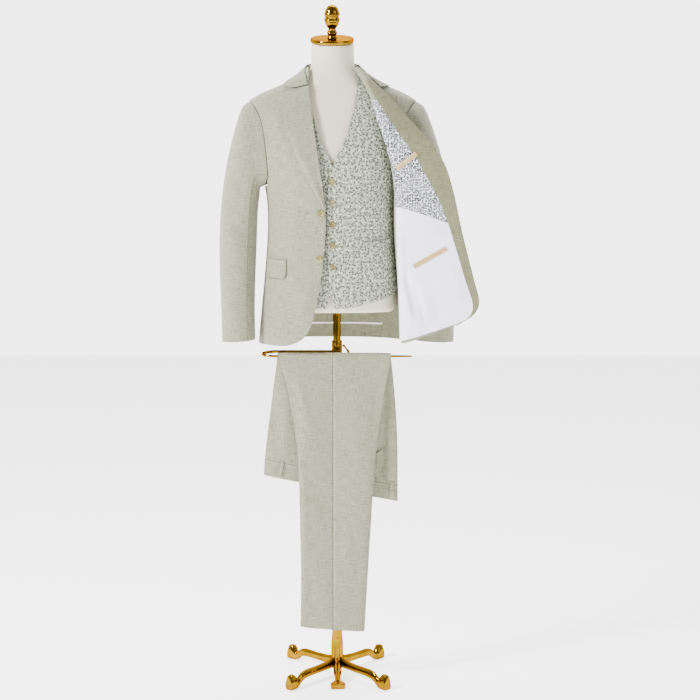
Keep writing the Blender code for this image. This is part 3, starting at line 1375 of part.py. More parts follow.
def main():
    for old in list(bpy.data.objects):
        bpy.data.objects.remove(old, do_unlink=True)
    make_backs()
    make_sides()
    front = outward(jacket_front_grid(-1, RIGHT_EDGE))
    wall("jacket_front_right", front, JACKET_CLOTH, "cloth")
    panel = surface(front)
    make_right_lapel(panel)
    make_right_trims(panel)
    make_sleeves()
    page, inside = make_turned_front()
    make_left_lapel(page)
    for name, start, end, width, lift in INSIDE_POCKETS:
        band(name, inside, start, end, width, lift, TAPE_CLOTH, "tan")
    make_collar()
    make_back_hem()
    make_waistcoat()
    make_form()
    make_stand()
    make_trousers()
    centre_on_floor()


main()
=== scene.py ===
# %% [markdown]
# # A three-piece suit on a dress form
# A sage-grey jacket, a leaf-patterned waistcoat and a pair of trousers hang on a limbless
# dress form with a brass stand. The plain solids of the sewing pattern are already in place,
# each in the frame it has on the finished suit. This lesson turns them into cloth: smooth,
# creased, woven and stitched, with polished brass and horn beside them.

# %% The frame and the tools
import math
import bmesh
import bpy
import numpy as np
from mathutils import Matrix, Vector


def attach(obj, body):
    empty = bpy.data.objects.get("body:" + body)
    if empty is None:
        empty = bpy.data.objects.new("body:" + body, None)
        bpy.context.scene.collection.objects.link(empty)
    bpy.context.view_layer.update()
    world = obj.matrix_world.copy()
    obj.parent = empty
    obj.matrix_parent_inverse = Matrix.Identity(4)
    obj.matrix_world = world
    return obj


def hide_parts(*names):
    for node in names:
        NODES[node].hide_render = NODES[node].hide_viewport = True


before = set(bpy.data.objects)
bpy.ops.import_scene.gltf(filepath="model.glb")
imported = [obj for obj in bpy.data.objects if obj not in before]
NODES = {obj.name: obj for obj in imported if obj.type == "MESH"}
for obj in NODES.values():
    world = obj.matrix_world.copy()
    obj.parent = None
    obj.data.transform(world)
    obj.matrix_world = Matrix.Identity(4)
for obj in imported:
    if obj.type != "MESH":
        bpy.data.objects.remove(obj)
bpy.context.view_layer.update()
MM = 0.001
POLE_X = -29.29 * MM
print("pattern pieces and stand parts:", len(NODES))

# %% [markdown]
# Edit-mode tools act on whatever is selected, so every step begins by selecting one piece
# and nothing else.

# %% Picking one piece at a time
def pick(piece):
    """Only this piece is selected and active."""
    bpy.ops.object.select_all(action="DESELECT")
    piece.select_set(True)
    bpy.context.view_layer.objects.active = piece


def edit_mode(on):
    """Goes into edit mode, or back out of it."""
    bpy.ops.object.mode_set(mode="EDIT" if on else "OBJECT")


def choose(piece, kind, test):
    """Selects only the faces, edges or vertices that pass a test."""
    bpy.ops.mesh.select_all(action="DESELECT")
    bpy.ops.mesh.select_mode(type=kind)
    work = bmesh.from_edit_mesh(piece.data)
    for part in {"FACE": work.faces, "EDGE": work.edges, "VERT": work.verts}[kind]:
        part.select = test(part)
    work.select_flush_mode()
    bmesh.update_edit_mesh(piece.data)


def bring_in(name, data):
    """A new object in the scene, made from a mesh, a lamp or a camera."""
    piece = bpy.data.objects.new(name, data)
    bpy.context.scene.collection.objects.link(piece)
    return piece


def start_from(add_shape, name, **sizes):
    """A new basic shape, named, with its place and turn written into its mesh."""
    bpy.ops.object.select_all(action="DESELECT")
    add_shape(**sizes)
    piece = bpy.context.object
    piece.name = name
    bpy.ops.object.transform_apply(location=True, rotation=True, scale=True)
    return piece


def put(piece, finish, body):
    """The piece gets its finish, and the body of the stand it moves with."""
    piece.data.materials.append(finish)
    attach(piece, body)
    return piece


# %% [markdown]
# A sewn piece starts as flat facets. On the real suit the cloth bends evenly and only turns
# sharply at its cut edges. A copy of each solid is welded, its triangles are paired into
# quads, the sharp rims are given a crease weight, and subdivision surface rounds the rest.
# The crease keeps each rim on its seam line, so neighbouring pieces still meet.

# %% A smooth copy of a pattern piece
WELD = 0.02 * MM
CLOTH_RIM_ANGLE = math.radians(48)
CLOTH_JOIN_ANGLE = math.radians(50)
QUAD_ANGLE = math.radians(60)
SHADING_ANGLE = math.radians(40)


def smooth_copy(node, name, levels, rim_angle=CLOTH_RIM_ANGLE, rim_weight=1.0,
                join_angle=CLOTH_JOIN_ANGLE):
    """A rounded copy of one solid, standing in its place."""
    piece = bring_in(name, NODES[node].data.copy())
    piece.data.materials.clear()
    pick(piece)
    edit_mode(True)
    bpy.ops.mesh.select_all(action="SELECT")
    bpy.ops.mesh.remove_doubles(threshold=WELD)
    bpy.ops.mesh.tris_convert_to_quads(face_threshold=join_angle, shape_threshold=QUAD_ANGLE)
    bpy.ops.mesh.select_all(action="DESELECT")
    bpy.ops.mesh.select_mode(type="EDGE")
    bpy.ops.mesh.edges_select_sharp(sharpness=rim_angle)
    bpy.ops.transform.edge_crease(value=rim_weight)
    edit_mode(False)
    rounding = piece.modifiers.new("Rounding", "SUBSURF")
    rounding.levels = levels
    rounding.render_levels = levels
    bpy.ops.object.modifier_apply(modifier="Rounding")
    bpy.ops.object.shade_smooth_by_angle(angle=SHADING_ANGLE)
    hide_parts(node)
    return piece


# %% [markdown]
# A crease in worn cloth is a soft trough or ridge that fades at both ends. Each one is a row
# in a table: where it starts and ends on the piece, how wide and how deep it is. Both faces
# of the thin wall move together, so the cloth never gets thicker. On a sleeve only the front
# or the back of the tube moves. A seam is pressed in the same way: a narrow valley that runs
# its whole length and hardly fades.

# %% Creases placed one by one
def corner_places(piece):
    """Every vertex of a piece as one array."""
    flat = np.empty(len(piece.data.vertices) * 3)
    piece.data.vertices.foreach_get("co", flat)
    return flat.reshape(-1, 3)


def soft_step(share):
    """0 below 0, 1 above 1 and an even rise between."""
    share = np.clip(share, 0.0, 1.0)
    return share * share * (3.0 - 2.0 * share)


def crease(piece, rows, facing="front", middle=None, blend=12.0, fade=0.35):
    """Soft folds across a piece: x and z of both ends, width and lift, in millimetres, with
    x counted from the pole."""
    places = corner_places(piece)
    sign = -1.0 if facing == "front" else 1.0
    share = np.ones(len(places))
    if middle is not None:
        share = soft_step(0.5 + sign * (places[:, 1] / MM - middle) / blend)
    move = np.zeros(len(places))
    for x1, z1, x2, z2, width, lift in rows:
        start = np.array([x1 * MM + POLE_X, z1 * MM])
        way = np.array([x2 * MM + POLE_X, z2 * MM]) - start
        length = np.linalg.norm(way)
        way /= length
        here = places[:, [0, 2]] - start
        along = here @ way / length
        across = (here @ np.array([-way[1], way[0]])) / (width * MM)
        ends = soft_step(along / fade) * soft_step((1.0 - along) / fade)
        move += lift * MM * ends * np.exp(-across * across)
    places[:, 1] += sign * move * share
    piece.data.vertices.foreach_set("co", places.ravel())
    piece.data.update()


# %% [markdown]
# A woven pattern has to follow the cloth. Flat-hanging pieces are unrolled straight from the
# front. Pieces that wrap the body or an arm are unrolled round an oval, so that a centimetre
# of cloth stays a centimetre of pattern all the way round.

# %% Two ways to unroll cloth
OVAL_STEPS = 720
# the body's middle line, in millimetres from the pole
BODY_X, ROOM_HEIGHT = -10.0, 2000.0
BODY_CENTRE = [(0.0, BODY_X, 0.0), (ROOM_HEIGHT, BODY_X, 0.0)]


def set_weave_map(piece, across, along):
    """Writes the cloth's own flat coordinates, in metres, as a UV map."""
    layer = piece.data.uv_layers.new(name="Weave")
    corners = np.empty(len(piece.data.loops), dtype=np.int32)
    piece.data.loops.foreach_get("vertex_index", corners)
    flat = np.column_stack([across[corners], along[corners]])
    layer.data.foreach_set("uv", flat.ravel())


def unroll_flat(piece):
    """For a piece that hangs facing the front or the back."""
    places = corner_places(piece)
    set_weave_map(piece, places[:, 0], places[:, 2])


def unroll_round(piece, radii, centre=BODY_CENTRE):
    """For a piece that wraps an oval. Centre rows are height, x and y in millimetres."""
    turn = np.linspace(-math.pi, math.pi, OVAL_STEPS + 1)
    rim = np.column_stack([radii[0] * np.sin(turn), -radii[1] * np.cos(turn)])
    steps = np.linalg.norm(np.diff(rim, axis=0), axis=1)
    run = np.concatenate([[0.0], np.cumsum(steps)]) * MM
    places = corner_places(piece)
    heights, middle_x, middle_y = np.array(centre).T * MM
    x = places[:, 0] - POLE_X - np.interp(places[:, 2], heights, middle_x)
    y = places[:, 1] - np.interp(places[:, 2], heights, middle_y)
    angle = np.arctan2(x / radii[0], -y / radii[1])
    set_weave_map(piece, np.interp(angle, turn, run), places[:, 2])


# %% [markdown]
# ## Finishes
# Every finish is a small network of shader nodes. These helpers add a node, feed its sockets
# and read the cloth's own coordinates, so each recipe below stays short.

# %% Shader helpers
FULL_TURN = 2.0 * math.pi


def linear(red, green, blue):
    """A screen colour from 0 to 255 as the light the shader needs."""
    parts = [c / 255.0 for c in (red, green, blue)]
    return tuple(c / 12.92 if c <= 0.04045 else ((c + 0.055) / 1.055) ** 2.4
                 for c in parts) + (1.0,)


def finish_sheet(name):
    """A new finish with its shader and output joined."""
    finish = bpy.data.materials.new(name)
    finish.use_nodes = True
    tree = finish.node_tree
    tree.nodes.clear()
    shader = tree.nodes.new("ShaderNodeBsdfPrincipled")
    output = tree.nodes.new("ShaderNodeOutputMaterial")
    tree.links.new(shader.outputs["BSDF"], output.inputs["Surface"])
    return finish, tree, shader


def feed(tree, socket, value):
    """Joins a socket to another one, or fills in a plain value."""
    if isinstance(value, bpy.types.NodeSocket):
        tree.links.new(value, socket)
    else:
        socket.default_value = value


def add(tree, kind, settings=None, **inputs):
    """One node with its settings and inputs. An input is named, or numbered as i0, i1."""
    node = tree.nodes.new("ShaderNode" + kind)
    for key, value in (settings or {}).items():
        setattr(node, key, value)
    for key, value in inputs.items():
        feed(tree, node.inputs[int(key[1:]) if key[1:].isdigit() else key], value)
    return node


def weave_place(tree, across=1.0, along=1.0, turn=0.0):
    """The cloth's own coordinates, stretched and turned."""
    source = tree.nodes.new("ShaderNodeUVMap")
    source.uv_map = "Weave"
    stretch = add(tree, "Mapping", Vector=source.outputs["UV"], Scale=(across, along, 1.0),
                  Rotation=(0.0, 0.0, turn))
    return stretch.outputs["Vector"]


def body_place(tree, scale):
    """Solid coordinates, stretched on each axis."""
    source = tree.nodes.new("ShaderNodeTexCoord")
    stretch = add(tree, "Mapping", Vector=source.outputs["Object"], Scale=scale)
    return stretch.outputs["Vector"]


def noise(tree, place, detail=2.0):
    """One layer of cloudy variation, its grain set by how the place is stretched."""
    return add(tree, "TexNoise", Vector=place, Scale=1.0, Detail=detail).outputs["Fac"]


def blend(tree, share, low, high):
    """A mix of two colours. Three numbers are a screen colour, four are light."""
    low, high = (linear(*c) if isinstance(c, tuple) and len(c) == 3 else c for c in (low, high))
    return add(tree, "Mix", {"data_type": "RGBA"}, Factor=share, i6=low, i7=high).outputs[2]


def spread(tree, value, low, high, to_low=0.0, to_high=1.0):
    """Stretches part of a range to another."""
    ranged = add(tree, "MapRange", Value=value, i1=low, i2=high, i3=to_low, i4=to_high)
    return ranged.outputs["Result"]


def sums(tree, operation, first, second=0.0):
    """One sum on one or two numbers or sockets."""
    return add(tree, "Math", {"operation": operation}, i0=first, i1=second).outputs[0]


def surface(tree, shader, colour, **settings):
    """The colour and the other named settings of a shader."""
    settings["Base_Color"] = colour
    for name, value in settings.items():
        feed(tree, shader.inputs[name.replace("_", " ")], value)


def times(tree, first, second):
    """Two numbers or sockets multiplied."""
    return sums(tree, "MULTIPLY", first, second)


def plus(tree, first, second):
    """Two numbers or sockets added."""
    return sums(tree, "ADD", first, second)


def split(tree, place):
    """The first two coordinates of a place."""
    parts = add(tree, "SeparateXYZ", Vector=place)
    return parts.outputs["X"], parts.outputs["Y"]


def raised(tree, shader, height, depth, strength=1.0):
    """Joins a height to the shader as bump, depth in metres."""
    bump = add(tree, "Bump", Height=height, Distance=depth, Strength=strength)
    tree.links.new(bump.outputs["Normal"], shader.inputs["Normal"])


# %% [markdown]
# ### Suit cloth
# A light plain weave of wool and linen. Its warp and weft yarns are uneven, so short slubs
# run both ways and the sage ground looks heathered. Two stretched noises draw the slubs, a
# slow noise drifts the tone over a hand's width, and two crossed waves give the threads.
# A pressed seam, a pocket slit or the edge of a belt loop gets painted shade: a dark line
# painted where shade falls in the groove, and a painted highlight on the paler ridge of
# folded cloth beside it. So the recipe also takes a list of such lines, each straight, seen
# from the front.

# %% Suit cloth and its facing
THREAD_PITCH = 0.55 * MM
THREAD_TURNS = FULL_TURN / THREAD_PITCH
WARP_SLUBS, WEFT_SLUBS, SLOW_TONE = (620.0, 42.0), (38.0, 700.0), (9.0, 7.0)
# painted shade for a seam's groove, and a painted highlight for the fold beside it
SEAM_SHADE = (88, 88, 68)
SEAM_HIGHLIGHT = (192, 192, 176)
SEAM_FADE = 20.0
# shares of a seam's width, counted from its middle
GROOVE_EDGE, RIDGE_PLACE, RIDGE_EDGE = (0.3, 0.7), 1.5, (0.4, 1.1)


def threads(tree):
    """Crossed yarns, over and under, as a height from 0 to 1."""
    x, y = split(tree, weave_place(tree, THREAD_TURNS, THREAD_TURNS))
    crossed = times(tree, sums(tree, "SINE", x), sums(tree, "SINE", y))
    return spread(tree, crossed, -1.0, 1.0)


def seam_shade_masks(tree, x1, z1, x2, z2, width=2.4):
    """Masks for the painted shade along a seam and the painted highlight on its right. Sizes in
    millimetres.
    """
    run = math.hypot(x2 - x1, z2 - z1)
    way = ((x2 - x1) / run, 0.0, (z2 - z1) / run)
    start = (x1 + POLE_X / MM, 0.0, z1)
    place = body_place(tree, (1.0 / MM, 1.0 / MM, 1.0 / MM))

    def distance(direction, beyond=0.0):
        """How far a point lies from the seam's start, one way."""
        far = add(tree, "VectorMath", {"operation": "DOT_PRODUCT"}, i0=place, i1=direction)
        begun = sum(a * b for a, b in zip(start, direction)) + beyond
        return sums(tree, "SUBTRACT", far.outputs["Value"], begun)

    off = distance((-way[2], 0.0, way[0]))
    from_middle = sums(tree, "ABSOLUTE", distance(way, run / 2.0))
    held = spread(tree, from_middle, run / 2.0 - SEAM_FADE, run / 2.0, 1.0, 0.0)
    near, far = (width * share for share in GROOVE_EDGE)
    groove_shade = spread(tree, sums(tree, "ABSOLUTE", off), near, far, 1.0, 0.0)
    beside = sums(tree, "ABSOLUTE", sums(tree, "SUBTRACT", off, width * RIDGE_PLACE))
    near, far = (width * share for share in RIDGE_EDGE)
    ridge_highlight = spread(tree, beside, near, far, 1.0, 0.0)
    return times(tree, groove_shade, held), times(tree, ridge_highlight, held)


def paint_seam_shade(tree, colour, seams, dark, pale):
    """A colour with painted shade and painted highlights drawn along its seams."""
    for seam in seams:
        groove_shade, ridge_highlight = seam_shade_masks(tree, *seam)
        colour = blend(tree, times(tree, groove_shade, dark), colour, SEAM_SHADE)
        colour = blend(tree, times(tree, ridge_highlight, pale), colour, SEAM_HIGHLIGHT)
    return colour


def slub_cloth(name, pale, ground, deep, seams=()):
    """Heathered suiting in three near tones, with painted shade along its seams."""
    finish, tree, shader = finish_sheet(name)
    warp = noise(tree, weave_place(tree, *WARP_SLUBS))
    weft = noise(tree, weave_place(tree, *WEFT_SLUBS))
    drift = noise(tree, weave_place(tree, *SLOW_TONE), 1.0)
    colour = blend(tree, spread(tree, warp, 0.38, 0.66), deep, ground)
    colour = blend(tree, spread(tree, weft, 0.42, 0.68, 0.0, 0.75), colour, pale)
    colour = blend(tree, spread(tree, drift, 0.35, 0.75, 0.0, 0.35), colour, ground)
    # painted shade along each seam, with a faint painted highlight beside it
    colour = paint_seam_shade(tree, colour, seams, 0.7, 0.12)
    surface(tree, shader, colour, Roughness=0.86, Specular_IOR_Level=0.25, Sheen_Weight=0.18,
            Sheen_Roughness=0.45)
    slubs = plus(tree, times(tree, warp, 0.9), times(tree, weft, 0.9))
    raised(tree, shader, plus(tree, slubs, times(tree, threads(tree), 0.5)), 0.16 * MM, 0.7)
    return finish


SAGE = ((159, 159, 137), (138, 138, 116), (103, 104, 81))
SUITING = slub_cloth("Sage suiting", *SAGE)
# The trousers' side seam gets a painted shade line and a faint painted highlight.
TROUSERING = slub_cloth("Sage suiting, trousers", *SAGE, [(-10, 900, -10, 120)])
# The waistband's top seam gets a painted shade line, and each belt loop a painted shadow along
# its edge.
BANDING = slub_cloth("Sage suiting, waistband", *SAGE, [
    (198, 510, -230, 597), (-132, 592, -145, 541, 3.4), (137, 532, 131, 497, 3.4)])
# The facing is the suit cloth drawn in darker, yellower tones.
FACING = slub_cloth("Sage suiting, facing", (133, 132, 103), (117, 116, 89), (90, 89, 65))
# The flap's top seam gets a painted shade line and a faint painted highlight.
FLAP_CLOTH = slub_cloth("Sage suiting, pocket flap", *SAGE, [(-124, 1105, -182, 1107, 3.0)])
# The hip pocket's slit gets a painted shade line and a faint painted highlight.
HIP_CLOTH = slub_cloth("Sage suiting, hip pocket", *SAGE, [(96, 601, 124, 600, 3.0)])
print("suit cloth thread spacing, mm:", round(THREAD_PITCH / MM, 2))

# %% [markdown]
# ### Waistcoat jacquard
# A pale sage ground carries small leaves and five-petalled flowers in a darker and a lighter
# yarn. A Voronoi texture gives each motif its own cell, centre and turn, and a little algebra
# draws the motif inside it.

# %% Leaves and flowers from cells
LEAF_BLUR, FLOWER_BLUR, PETALS = 0.12, 0.2 * MM, 5.0


def motif_place(tree, cells_per_metre, looseness):
    """Local coordinates inside each cell, turned at random."""
    place = weave_place(tree)
    cells = add(tree, "TexVoronoi", {"voronoi_dimensions": "2D"}, Vector=place,
                Scale=cells_per_metre, Randomness=looseness)
    offset = add(tree, "VectorMath", {"operation": "SUBTRACT"}, i0=place,
                 i1=cells.outputs["Position"])
    tint = add(tree, "SeparateColor", Color=cells.outputs["Color"])
    turn = times(tree, tint.outputs[0], FULL_TURN)
    turned = add(tree, "VectorRotate", {"rotation_type": "Z_AXIS"}, Vector=offset.outputs[0],
                 Angle=turn)
    return split(tree, turned.outputs[0])


def leaf_shape(tree, cells_per_metre, length, width, looseness=0.8):
    """1 inside a pointed leaf, 0 outside."""
    x, y = motif_place(tree, cells_per_metre, looseness)
    along = sums(tree, "DIVIDE", x, length / 2.0 * MM)
    across = sums(tree, "ABSOLUTE", y)
    bow = sums(tree, "SUBTRACT", 1.0, times(tree, along, along))
    inside = sums(tree, "SUBTRACT", bow, sums(tree, "DIVIDE", across, width / 2.0 * MM))
    return spread(tree, inside, -LEAF_BLUR, LEAF_BLUR)


def flower_shape(tree, cells_per_metre, radius, looseness=0.55):
    """1 inside a five-petalled flower with an open eye, 0 outside."""
    x, y = motif_place(tree, cells_per_metre, looseness)
    reach = sums(tree, "SQRT", plus(tree, times(tree, x, x), times(tree, y, y)))
    turns = times(tree, sums(tree, "ARCTAN2", y, x), PETALS)
    petal = times(tree, sums(tree, "COSINE", turns), 0.34)
    edge = times(tree, plus(tree, petal, 0.66), radius * MM)
    inside = spread(tree, sums(tree, "SUBTRACT", edge, reach), -FLOWER_BLUR, FLOWER_BLUR)
    eye = spread(tree, reach, radius * 0.16 * MM, radius * 0.26 * MM)
    return times(tree, inside, eye)


LEAVES = [
    # cells per metre, length, width, looseness, strength, colour
    (104.0, 8.0, 3.2, 0.8, 0.85, (214, 217, 202)),
    (92.0, 9.5, 3.2, 0.8, 0.85, (112, 118, 97)),
    (112.0, 7.4, 3.9, 0.9, 0.95, (56, 62, 46)),
]


def jacquard(name, seams=()):
    """The waistcoat's leaf and flower cloth."""
    finish, tree, shader = finish_sheet(name)
    drift = noise(tree, weave_place(tree, 14.0, 11.0), 1.0)
    colour = blend(tree, drift, (166, 171, 152), (152, 158, 138))
    floats = flower_shape(tree, 52.0, 5.6)
    flower_colour = times(tree, floats, 0.85)
    for cells, length, width, looseness, strength, yarn in LEAVES:
        leaf = leaf_shape(tree, cells, length, width, looseness)
        colour = blend(tree, times(tree, leaf, strength), colour, yarn)
        floats = plus(tree, floats, leaf)
    colour = blend(tree, flower_colour, colour, (84, 91, 72))
    # painted shade and painted highlight along any seams given
    colour = paint_seam_shade(tree, colour, seams, 0.9, 0.7)
    surface(tree, shader, colour, Roughness=0.7, Sheen_Weight=0.12)
    raised(tree, shader, plus(tree, times(tree, floats, 0.7), threads(tree)), 0.14 * MM, 0.8)
    return finish


JACQUARD = jacquard("Leaf and flower jacquard")
# The welts get a painted shade line along their slit and a painted highlight on the lip.
WELT_CLOTH = jacquard("Leaf and flower jacquard, pocket welts",
                      [(60, 1150, 140, 1158, 3.0), (-160, 1158, -80, 1150, 3.0)])

# %% [markdown]
# ### Linings and tapes
# The upper lining is printed with short dark dashes on white, the lower one is a plain white
# satin with a faint twill. The inside pockets are edged in tan tape with a rib.

# %% Linings and tape
RIB_SLANT = math.radians(38)


def printed_lining(name):
    """White satin with small scattered dashes and dots."""
    finish, tree, shader = finish_sheet(name)
    dashes = leaf_shape(tree, 150.0, 7.4, 4.8, 0.62)
    dots = leaf_shape(tree, 230.0, 4.6, 3.3, 0.75)
    wave = noise(tree, weave_place(tree, 20.0, 26.0), 1.0)
    strong = times(tree, dashes, spread(tree, wave, 0.35, 0.6, 0.7, 1.0))
    colour = blend(tree, strong, (238, 238, 245), (30, 32, 38))
    colour = blend(tree, times(tree, dots, 0.85), colour, (56, 58, 64))
    surface(tree, shader, colour, Roughness=0.5, Sheen_Weight=0.1)
    raised(tree, shader, threads(tree), 0.05 * MM, 0.5)
    return finish


def plain_satin(name, pale, shade, roughness, rib, depth, seams=()):
    """A smooth lining or tape with fine slanting ribs, and painted shade along any seams given.
    """
    finish, tree, shader = finish_sheet(name)
    drift = noise(tree, weave_place(tree, 16.0, 9.0))
    colour = paint_seam_shade(tree, blend(tree, drift, shade, pale), seams, 0.35, 0.9)
    surface(tree, shader, colour, Roughness=roughness, Sheen_Weight=0.12)
    place = weave_place(tree, turn=RIB_SLANT)
    lines = add(tree, "TexWave", Vector=place, Scale=rib, Distortion=0.4)
    raised(tree, shader, lines.outputs["Fac"], depth, 0.6)
    return finish


PRINTED = printed_lining("Printed lining")
SATIN = plain_satin("White satin lining", (248, 246, 255), (238, 236, 250), 0.42, 260.0,
                    0.05 * MM)
TAN = ((188, 157, 104), (170, 139, 86), 0.6, 190.0, 0.12 * MM)
TAPE = plain_satin("Tan tape", *TAN)
# The slit between the tape's two lips gets a faint painted shade line and a painted highlight on
# one lip.
LIPPED_TAPE = plain_satin("Tan tape, two lips", *TAN, [(150, 1335, 198, 1371, 1.6)])

# %% [markdown]
# ### Hard finishes
# Buttons are pale horn, clear in places and streaked in others, under a polished face. The
# stand is lacquered brass with the faintest waviness and a few dull patches where hands hold
# it. The form is covered in cream jersey.

# %% Horn, brass and jersey
KNIT_WIDTH, KNIT_HEIGHT = 1.3 * MM, 0.9 * MM


def horn(name):
    """Streaked pale horn with a polished face."""
    finish, tree, shader = finish_sheet(name)
    streaks = noise(tree, body_place(tree, (60.0, 60.0, 420.0)), 3.0)
    clouds = noise(tree, body_place(tree, (95.0, 95.0, 95.0)), 1.0)
    colour = blend(tree, spread(tree, streaks, 0.35, 0.65), (98, 84, 42), (134, 120, 70))
    colour = blend(tree, spread(tree, clouds, 0.4, 0.7, 0.0, 0.6), colour, (184, 174, 128))
    surface(tree, shader, colour, Roughness=spread(tree, streaks, 0.2, 0.8, 0.22, 0.4),
            Coat_Weight=0.5, Coat_Roughness=0.12)
    raised(tree, shader, streaks, 0.05 * MM, 0.4)
    return finish


def brass(name):
    """Bright lacquered brass with handled patches."""
    finish, tree, shader = finish_sheet(name)
    patches = noise(tree, body_place(tree, (30.0, 30.0, 30.0)), 3.0)
    grain = noise(tree, body_place(tree, (140.0, 140.0, 700.0)))
    colour = blend(tree, spread(tree, patches, 0.3, 0.7), (112, 80, 8), (142, 106, 16))
    surface(tree, shader, colour, Roughness=spread(tree, patches, 0.35, 0.75, 0.06, 0.14),
            Metallic=1.0, Specular_Tint=linear(206, 158, 70))
    raised(tree, shader, grain, 0.03 * MM, 0.25)
    return finish


def jersey(name):
    """Cream knitted cover, smoothed by its padding."""
    finish, tree, shader = finish_sheet(name)
    tone = noise(tree, weave_place(tree, 6.0, 6.0), 3.0)
    flecks = noise(tree, weave_place(tree, 900.0, 500.0), 1.0)
    colour = blend(tree, tone, (206, 198, 174), (214, 207, 184))
    colour = blend(tree, spread(tree, flecks, 0.5, 0.8, 0.0, 0.3), colour, (188, 182, 164))
    surface(tree, shader, colour, Roughness=0.82, Sheen_Weight=0.15)
    x, y = split(tree, weave_place(tree, FULL_TURN / KNIT_WIDTH, FULL_TURN / KNIT_HEIGHT))
    ribs = sums(tree, "SINE", x)
    loops = sums(tree, "ABSOLUTE", sums(tree, "SINE", y))
    raised(tree, shader, times(tree, ribs, loops), 0.1 * MM, 0.6)
    return finish


HORN = horn("Pale horn")
BRASS = brass("Lacquered brass")
JERSEY = jersey("Cream jersey")
print("finishes made:", len(bpy.data.materials))

# %% [markdown]
# ## Cutting list
# A maker cuts flat pieces before anything hangs. Each row gives the smallest rectangle a
# piece is cut from and its true flat area, in metres.

# %% Flat sizes of every piece of cloth
# piece: width, length and area. A star stands for both left and right.
HUNG = {
    "jacket_back_*": (0.22, 0.74, 0.132),
    "jacket_side_*": (0.11, 0.42, 0.038),
    "jacket_front_right": (0.26, 0.74, 0.112),
    "jacket_lining_plain": (0.21, 0.35, 0.0545),
    "jacket_lining_printed": (0.18, 0.32, 0.0215),
    "jacket_flap_right": (0.082, 0.050, 0.0037),
    "sleeve_top_left": (0.28, 0.66, 0.167),
    "sleeve_top_right": (0.27, 0.66, 0.154),
    "sleeve_under_left": (0.15, 0.46, 0.052),
    "sleeve_under_right": (0.15, 0.46, 0.050),
}
DRAPED = {
    "waistcoat_front_*": (0.19, 0.62, 0.101),
    "waistcoat_back": (0.42, 0.58, 0.203),
}
FOLDED = {
    "waistcoat_pocket_*": (0.095, 0.022, 0.0013),
    "hip_welt_*": (0.036, 0.014, 0.0003),
    "belt_loop_*_1": (0.012, 0.052, 0.0005),
    "belt_loop_*_2": (0.012, 0.052, 0.0005),
    "jacket_front_left": (0.36, 0.76, 0.137),
    "jacket_facing_left": (0.10, 0.66, 0.0245),
    "jacket_lapel_left": (0.05, 0.22, 0.0052),
    "jacket_lapel_right": (0.10, 0.34, 0.0178),
    "jacket_collar": (0.46, 0.085, 0.0225),
    "jacket_collar_stand": (0.17, 0.025, 0.0029),
    "jacket_pocket_upper": (0.062, 0.018, 0.0009),
    "jacket_pocket_lower": (0.095, 0.018, 0.0012),
    "jacket_back_binding": (0.30, 0.010, 0.0015),
    "trouser_front_left": (0.22, 1.10, 0.191),
    "trouser_back_left": (0.25, 1.12, 0.218),
    "trouser_front_right": (0.22, 1.10, 0.184),
    "trouser_back_right": (0.25, 1.12, 0.211),
    "waistband_left": (0.40, 0.052, 0.019),
    "waistband_right": (0.40, 0.052, 0.0188),
}
SEWN = {}
CUTTING_LIST = {}
for held, sizes in (("hung", HUNG), ("draped", DRAPED), ("folded", FOLDED)):
    for name, size in sizes.items():
        for side in ("left", "right"):
            CUTTING_LIST[name.replace("*", side)] = size + (held,)


def sew(node, finish=SUITING, levels=3, body="upper"):
    """A pattern piece as finished cloth."""
    piece = smooth_copy(node, node + "_cloth", levels)
    SEWN[node] = put(piece, finish, body)
    return piece


# %% [markdown]
# ## Jacket
# The back is two panels with a seam down the middle, joined to a narrow side panel under each
# arm. Worn cloth pulls across the waist and hangs in long soft flutes in the skirt, so the
# back gets a few of each, none alike.

# %% Jacket back and sides
SEAM_ENDS = 0.03
# half the oval's width and depth, in millimetres
JACKET_OVAL = (205.0, 122.0)
BACK_CREASES = [
    (-150, 1236, -42, 1214, 14, -3.0), (-128, 1192, -58, 1184, 11, -2.1),
    (36, 1228, 138, 1244, 15, -2.8), (58, 1196, 118, 1188, 10, -2.0),
    (-112, 1474, -90, 1372, 20, 2.4), (82, 1478, 66, 1364, 22, -2.1),
    (-150, 1330, -108, 1290, 12, -2.5), (112, 1306, 150, 1352, 12, -2.6),
    (-96, 1090, -104, 905, 22, 3.2), (-48, 1060, -44, 915, 16, -2.2),
    (62, 1075, 76, 900, 24, -3.1), (118, 1090, 128, 915, 18, 2.8),
    (-20, 1540, 6, 1522, 9, -1.6),
]
CENTRE_BACK_SEAM = [(-10, 1600, -10, 880, 3.4, -1.3)]
for side in ("left", "right"):
    panel = sew("jacket_back_" + side)
    crease(panel, BACK_CREASES, "back")
    crease(panel, CENTRE_BACK_SEAM, "back", fade=SEAM_ENDS)
    unroll_round(panel, JACKET_OVAL)
    narrow = sew("jacket_side_" + side, levels=2)
    unroll_round(narrow, JACKET_OVAL)
unroll_flat(sew("jacket_back_binding", SATIN, 2))
print("faces on one back panel:", len(SEWN["jacket_back_left"].data.polygons))

# %% [markdown]
# The buttoned front pulls towards its top button and drops free below it. The flap of its
# pocket and its lapel lie on the same cloth, so they follow the same creases. Both are free
# along one edge, and there they stand a few millimetres off the cloth and shade it.

